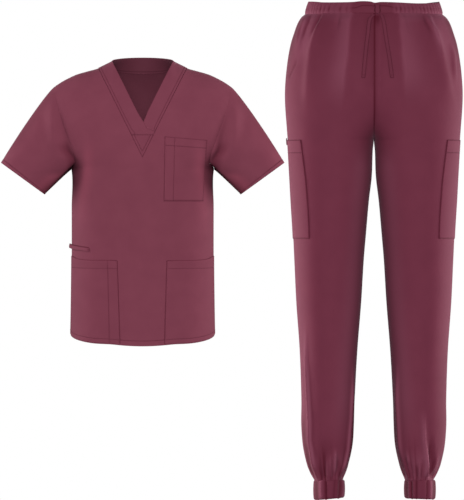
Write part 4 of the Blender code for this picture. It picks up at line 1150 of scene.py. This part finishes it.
def leg_surface(side, face, u, v):
    place = leg_point(side, face, u, v)
    low, high = CUFF_TUCK * ease((ANKLE_Z - v) / TUCK), CASING_TUCK * ease((v - WAIST_Z) / TUCK)
    place = mix(place, leg_axis(side)(place), low[..., None])
    return mix(place, trousers_axis(place), high[..., None])


def leg_relief(side, face, u, v):
    height, dark = seams([(u * HALF_GIRTH, 0.4, 1.3), ((1 - u) * HALF_GIRTH, 0.6, 1.3)])
    x = np.abs(leg_point(side, face, u, v)[..., 0] - TROUSERS_X)
    strength, crease = ankle_gathers(side, face, 180 * u, v)
    # The folds' painted shade and painted light die away at the outer seam.
    dark = dark + folds_at(TROUSER_FOLDS[side, face], x, v, "shade") * ease(u / 0.1)
    # Painted shade in the creases of the gathers above the cuff.
    gathers = strength * (0.12 + 0.9 * (1 - crease) ** 2)
    return height, np.clip(dark + GATHER_SHADE[face] * gathers, -1, 1)


def leg_pin(u, v, place):
    """Puts a panel's edges back on the centre line and on the plane of the side seams."""
    place[..., 0] = np.where((u == 1) & (v >= CROTCH_Z), TROUSERS_X, place[..., 0])
    place[..., 1] = np.where((u == 0) | ((u == 1) & (v <= CROTCH_Z)), 0, place[..., 1])
    return place


def make_trouser_panels():
    rows = WAIST_Z + (ANKLE_Z - WAIST_Z) * stations(LEG_LENGTH, 5.0)
    rows = np.append(rows[np.abs(rows - CROTCH_Z) > 1.5],
                     [CROTCH_Z, ANKLE_Z - 2, ANKLE_Z - TUCK, WAIST_Z + 2, WAIST_Z + TUCK])
    shares = stations(HALF_GIRTH, 3.6, [0.8, HALF_GIRTH - 0.8])
    for side in (LEFT, RIGHT):
        for face in (FRONT, BACK):
            name = FACE_NAMES[face] + "_" + SIDE_NAMES[side]
            panel = cloth("leg_panel_" + name, "trouser_" + name,
                          [(shares, np.sort(rows)[::-1], partial(leg_surface, side, face),
                            partial(leg_relief, side, face), leg_axis(side), leg_pin)],
                          TROUSER_TWILL)


# How far the waistband's top edge lies above or below its level at places from the centre line.
WAIST_EDGE = table("x dz", [
    (-150, 1.5), (-132, 1.0), (-110, -1.0), (-70, -1.2), (-46, -0.6), (-28, 1.0), (-8, 0.2),
    (1, -2.2), (14, -0.8), (50, -1.6), (92, -3.4), (125, -2.6), (150, -2.0)])
CASING_GATHERS, CASING_WANDER, CASING_PUFF = 76, 3.0, 1.6
WAIST_HALF, WAIST_FRONT, WAIST_BACK = [HIPS[key][-1] for key in ("half", "front", "back")]


def casing_gathers(u):
    return pinched(2 * np.pi * u, CASING_GATHERS, CASING_WANDER)


def flat_front(u):
    """1 on the flat part in front, where the drawstring comes out."""
    across = WAIST_HALF * oval(360 * u, HIP_POWER)[0]
    return np.where(u < 0.5, 0, 1 - ease((np.abs(across + 4) - 40) / 14))


def waistband_surface(u, v):
    """The elastic casing: u is the share round the waist, from the right and round behind."""
    across, deep = oval(360 * u, HIP_POWER)
    rise = v * CASING_HEIGHT
    out, wave = [follow(WAISTBAND_ROWS, key, rise) for key in ("out", "wave")]
    x = (WAIST_HALF + out) * across
    y = np.where(u < 0.5, WAIST_BACK + out, -(WAIST_FRONT + out)) * deep
    puff = CASING_PUFF * wave * (casing_gathers(u) - 0.7) * (1 - flat_front(u))
    length = np.hypot(x, y) + TINY
    edge = follow(WAIST_EDGE, "dz", np.where(u < 0.5, -x, x)) * v ** 2
    return points(TROUSERS_X + x + x / length * puff, y + y / length * puff,
                  WAISTBAND_LOW_Z + rise + edge)


def waistband_relief(u, v):
    rise, flat = v * CASING_HEIGHT, flat_front(u)
    across = WAIST_HALF * oval(360 * u, HIP_POWER)[0]
    # The upper row of stitches runs lower at both sides of the flat part.
    line = 18 - 5 * ease((-across - 24) / 22) - 3 * ease((across - 24) / 22)
    lift, dark = seams([(rise - line, 0.4, 1.0), (rise - 0.8, 0.6, 1.2)],
                       0.5 * np.sin(v * np.pi))
    # Painted shade in the gathers' creases is deepest between the two rows of elastic stitches,
    # and no two are alike. The rest of the band is painted a little paler, most at its foot, and
    # the flat part takes painted shade.
    crease = (1 - casing_gathers(u)) ** 1.2 * bell(rise - 11, 6)
    crease *= 0.5 + 0.5 * np.sin(60 * u) * np.sin(131 * u)
    tone = mix(1.5 * crease - 0.3 - 0.15 * bell(rise, 5), 0.2, flat)
    return lift, np.clip(dark * mix(0.1, 1.3, flat) + tone, -1, 1)


def make_waistband():
    grid = (np.linspace(0, 1, CASING_GATHERS * 8 + 1), stations(CASING_HEIGHT, 2.2, [0.8, 17]),
            waistband_surface, waistband_relief, trousers_axis)
    band = cloth("elastic_waistband", "waistband", [grid], TROUSER_TWILL, 1.6)


CUFF_DROP, CUFF_HALF, CUFF_SHIFT = 41.7, 33.2, 1.8
CUFF_ROWS = table("drop half depth wave", [
    (0, 31, 40, 0.5), (3.5, CUFF_HALF, 41.6, 1), (37.5, CUFF_HALF, 41.6, 1),
    (CUFF_DROP, 30.5, 39.3, 0.6)])
CUFF_GATHERS, CUFF_WANDER, CUFF_PUFF = 17, 3.0, 4.2
# How far a cuff's hem slants.
CUFF_SLANT = {LEFT: 0.09, RIGHT: -0.04}
# The front's pleats from left to right: distance from the cuff's middle, lean over the drop,
# width, height and shade, which is painted shade, or painted light where negative.
PLEAT_ROWS = {
    LEFT: [(-30, 2, 6, -1.5, 0.9), (-18.5, 1, 4.5, 1.6, -0.5), (-8.7, 1, 3.2, -2.4, 0.7),
           (0, 0, 6, 0.8, 0), (13, -3, 3, -1, 0.3), (24, -3, 3.5, -2.2, 0.6),
           (29.5, 0, 2.4, 1, -0.5)],
    RIGHT: [(-30, 1, 4, -1.5, 1.0), (-24, 1, 2.4, 1.4, -0.4), (-19.8, 1, 2.8, -2.2, 0.7),
            (-14.3, 0, 2.4, 1.2, -0.1), (-8.9, 0, 2.6, -1.8, 0.5), (0, 0, 7, 0.8, 0),
            (15.4, 0, 2.8, -1.6, 0.4), (22.6, -1, 3.8, 2, -0.5), (32, -1, 5, -1.8, 1.0)],
}
CUFF_PLEATS = {side: [fold([(x, 0), (x + lean, -CUFF_DROP)], width, height, 0.02, 0.02,
                           shade=shade) for x, lean, width, height, shade in rows]
               for side, rows in PLEAT_ROWS.items()}


def cuff_front(turn):
    """1 on a cuff's front and 0 behind, at a turn in radians."""
    return ease(-4 * np.sin(turn))


def cuff_surface(side, u, v):
    drop, turn = CUFF_DROP * v, 2 * np.pi * u
    half, depth, wave = [follow(CUFF_ROWS, key, drop) for key in ("half", "depth", "wave")]
    puff = wave * mix(CUFF_PUFF * (pinched(turn, CUFF_GATHERS, CUFF_WANDER, side) - 0.8),
                      folds_at(CUFF_PLEATS[side], half * np.cos(turn), -drop),
                      cuff_front(turn))
    x = (half + puff) * np.cos(turn)
    return points(TROUSERS_X + side * CUFF_CENTRE_X + CUFF_SHIFT + x,
                  (depth + puff) * np.sin(turn), CUFF_TOP_Z - drop + CUFF_SLANT[side] * x * v)


def cuff_relief(side, u, v):
    lift, dark = seams([(CUFF_DROP * v, 0.3, 0.8)], 0.4 * np.sin(v * np.pi))
    turn = 2 * np.pi * u
    # Painted shade in the gathers' creases behind and the pleats' painted shade or light in front,
    # over a little painted shade all round.
    crease = 0.7 * (1 - pinched(turn, CUFF_GATHERS, CUFF_WANDER, side)) ** 2
    pleat = folds_at(CUFF_PLEATS[side], CUFF_HALF * np.cos(turn), -CUFF_DROP * v, "shade")
    tone = mix(crease, pleat, cuff_front(turn)) + 0.15
    return lift, np.clip(0.4 * dark + tone, -1, 1)


def make_cuffs():
    for side in (LEFT, RIGHT):
        cuff = cloth("ribbed_cuff_" + SIDE_NAMES[side], "cuff_" + SIDE_NAMES[side],
                     [(np.linspace(0, 1, CUFF_GATHERS * 14 + 1),
                       stations(CUFF_DROP, 2.0, [1, CUFF_DROP - 1]), partial(cuff_surface, side),
                       partial(cuff_relief, side), leg_axis(side))], TROUSER_TWILL, 1.8)


CARGO_POCKET, CARGO_LOW_Z, CARGO_TOP_Z = (176.0, 215.0), -388, -173
# How far a cargo pocket reaches round the leg from its outer seam, at half its height.
CARGO_REACH = {FRONT: 92, BACK: 84}


def side_point(side, share, z):
    """A point near the outer seam: share is negative in front of it and positive behind it."""
    front, back = [leg_point(side, face, np.abs(share), z) for face in (FRONT, BACK)]
    return np.where((share < 0)[..., None], front, back)


def girth_share(side, face):
    """The share of the leg's half girth that a cargo pocket's reach comes to."""
    shares = np.linspace(0, 1, 201)
    line = leg_point(side, face, shares, (CARGO_LOW_Z + CARGO_TOP_Z) / 2)
    length = np.concatenate([[0], np.cumsum(np.linalg.norm(np.diff(line, axis=0), axis=1))])
    return float(np.interp(CARGO_REACH[face], length, shares))


def make_cargo_pockets():
    width, height = CARGO_POCKET
    for side in (LEFT, RIGHT):
        def surface(u, v, side=side, front=girth_share(side, FRONT),
                    back=girth_share(side, BACK)):
            return side_point(side, mix(-front, back, u), mix(CARGO_LOW_Z, CARGO_TOP_Z, v))

        name = SIDE_NAMES[side]
        make_patch("cargo_patch_pocket_" + name, "cargo_pocket_" + name, surface, leg_axis(side),
                   CARGO_POCKET, [("v", height - 28), ("u", 1.8), ("u", width - 1.8), ("v", 1.8)],
                   edges=(0.8, 0.8, 0.5, 0.5), lift=1.4, along=ALONG_80,
                   seam=("cargo_pocket_stitches_" + name, 1.7))

    def tab(u, v):
        return side_point(LEFT, mix(-0.03, 0.05, u), mix(-184, -169, v))

    make_patch("pocket_side_tab", "side_tab", tab, leg_axis(LEFT), (25.0, 15.0),
               [("u", 2, 0.6), ("u", 23)], lift=3.4, wall=1.4, step=1.5)


# --- studio ---

FRAME_HEIGHT, SENSOR_WIDTH = 1.0875, 36.0
VIEW_CENTRE = Vector((0.1942, 0, -0.4122))
CAMERA_DISTANCE = 30.0
FLOOR_X, FLOOR_Z, FLOOR_RADIUS, FLOOR_COLOUR = 0.25, -1.2, 3.4, "#f2f2f2"
AMBIENT, LIGHT_AIM_Z = 0.16, -0.4
# What lies wholly beyond this x is a piece of the trousers.
BETWEEN_X = 0.3
# Each garment has its own ring of softboxes, as if each stood alone: place, degrees round from
# the front, distance in metres, height, width, length and watts.
SOFTBOXES = {
    "top": [("front", 0, 8.0, 2.1, 3.0, 3.0, 625), ("left", -110, 4.0, 0.2, 1.8, 3.0, 162),
            ("right", 110, 4.0, 0.2, 1.8, 3.0, 162), ("behind", 180, 5.0, 1.4, 3.0, 3.0, 80)],
    "trousers": [("front", 0, 8.0, 0.4, 3.0, 3.0, 566), ("left", -110, 2.2, -0.6, 1.0, 1.1, 80),
                 ("right", 110, 2.2, -0.6, 1.0, 1.1, 73), ("behind", 180, 5.0, 1.4, 3.0, 3.0, 30)],
}


def make_camera():
    data = bpy.data.cameras.new("camera")
    camera = bpy.data.objects.new("camera", data)
    bpy.context.collection.objects.link(camera)
    data.sensor_width = SENSOR_WIDTH
    data.lens = SENSOR_WIDTH * CAMERA_DISTANCE / FRAME_HEIGHT
    data.clip_end = 100
    camera.location = VIEW_CENTRE - Vector((0, CAMERA_DISTANCE, 0))
    camera.rotation_euler = (np.pi / 2, 0, 0)
    bpy.context.scene.camera = camera


def light_garment(name, centre_x, pieces):
    """Softboxes that light one garment and the floor, and no other garment shades."""
    group = bpy.data.collections.new("lit_" + name)
    for piece in pieces:
        group.objects.link(piece)
    for place, turn, distance, height, width, length, watts in SOFTBOXES[name]:
        data = bpy.data.lights.new("softbox_" + place + "_" + name, "AREA")
        data.shape, data.size, data.size_y, data.energy = "RECTANGLE", width, length, watts
        light = bpy.data.objects.new(data.name, data)
        bpy.context.collection.objects.link(light)
        light.visible_camera = False
        light.light_linking.receiver_collection = group
        light.light_linking.blocker_collection = group
        aim, turn = Vector((centre_x, 0, LIGHT_AIM_Z)), np.radians(turn)
        light.location = (centre_x + distance * np.sin(turn), -distance * np.cos(turn), height)
        light.rotation_euler = (aim - light.location).to_track_quat("-Z", "Y").to_euler()


def make_studio():
    """A round pale floor in a white room, and a ring of softboxes round each garment."""
    garments = {"top": [], "trousers": []}
    for piece in bpy.context.scene.objects:
        if piece.type == "MESH":
            is_trousers = min(corner[0] for corner in piece.bound_box) > BETWEEN_X
            garments["trousers" if is_trousers else "top"].append(piece)
    bm = bmesh.new()
    bmesh.ops.create_circle(bm, cap_ends=True, segments=128, radius=FLOOR_RADIUS,
                            matrix=Matrix.Translation((FLOOR_X, 0, FLOOR_Z)))
    pale = bpy.data.materials.new("pale_floor")
    pale.use_nodes = True
    shader = pale.node_tree.nodes["Principled BSDF"]
    shader.inputs["Base Color"].default_value = linear(FLOOR_COLOUR)
    shader.inputs["Roughness"].default_value = 0.9
    mesh = bpy.data.meshes.new("floor")
    bm.to_mesh(mesh)
    bm.free()
    mesh.materials.append(pale)
    floor = bpy.data.objects.new("floor", mesh)
    bpy.context.collection.objects.link(floor)
    # The floor throws no light up at the cloth, as if it lay far below.
    floor.visible_diffuse = floor.visible_glossy = False
    world = bpy.data.worlds.new("white_room")
    bpy.context.scene.world = world
    world.use_nodes = True
    tree = world.node_tree
    ray = add_node(tree, "ShaderNodeLightPath")
    level = add_node(tree, "ShaderNodeMapRange", {"To Min": AMBIENT, "To Max": 1.0},
                     {"Value": ray.outputs["Is Camera Ray"]})
    tree.links.new(level.outputs["Result"], tree.nodes["Background"].inputs["Strength"])
    tree.nodes["Background"].inputs["Color"].default_value = (1, 1, 1, 1)
    light_garment("top", 0, garments["top"] + [floor])
    light_garment("trousers", TROUSERS_X * MM, garments["trousers"] + [floor])
    bpy.context.scene.view_settings.view_transform = "Standard"


def main():
    make_camera()
    make_drawstring()
    make_panels()
    make_sleeves()
    make_neckbands()
    make_top_pockets()
    make_trouser_panels()
    make_waistband()
    make_cuffs()
    make_cargo_pockets()
    make_studio()


main()
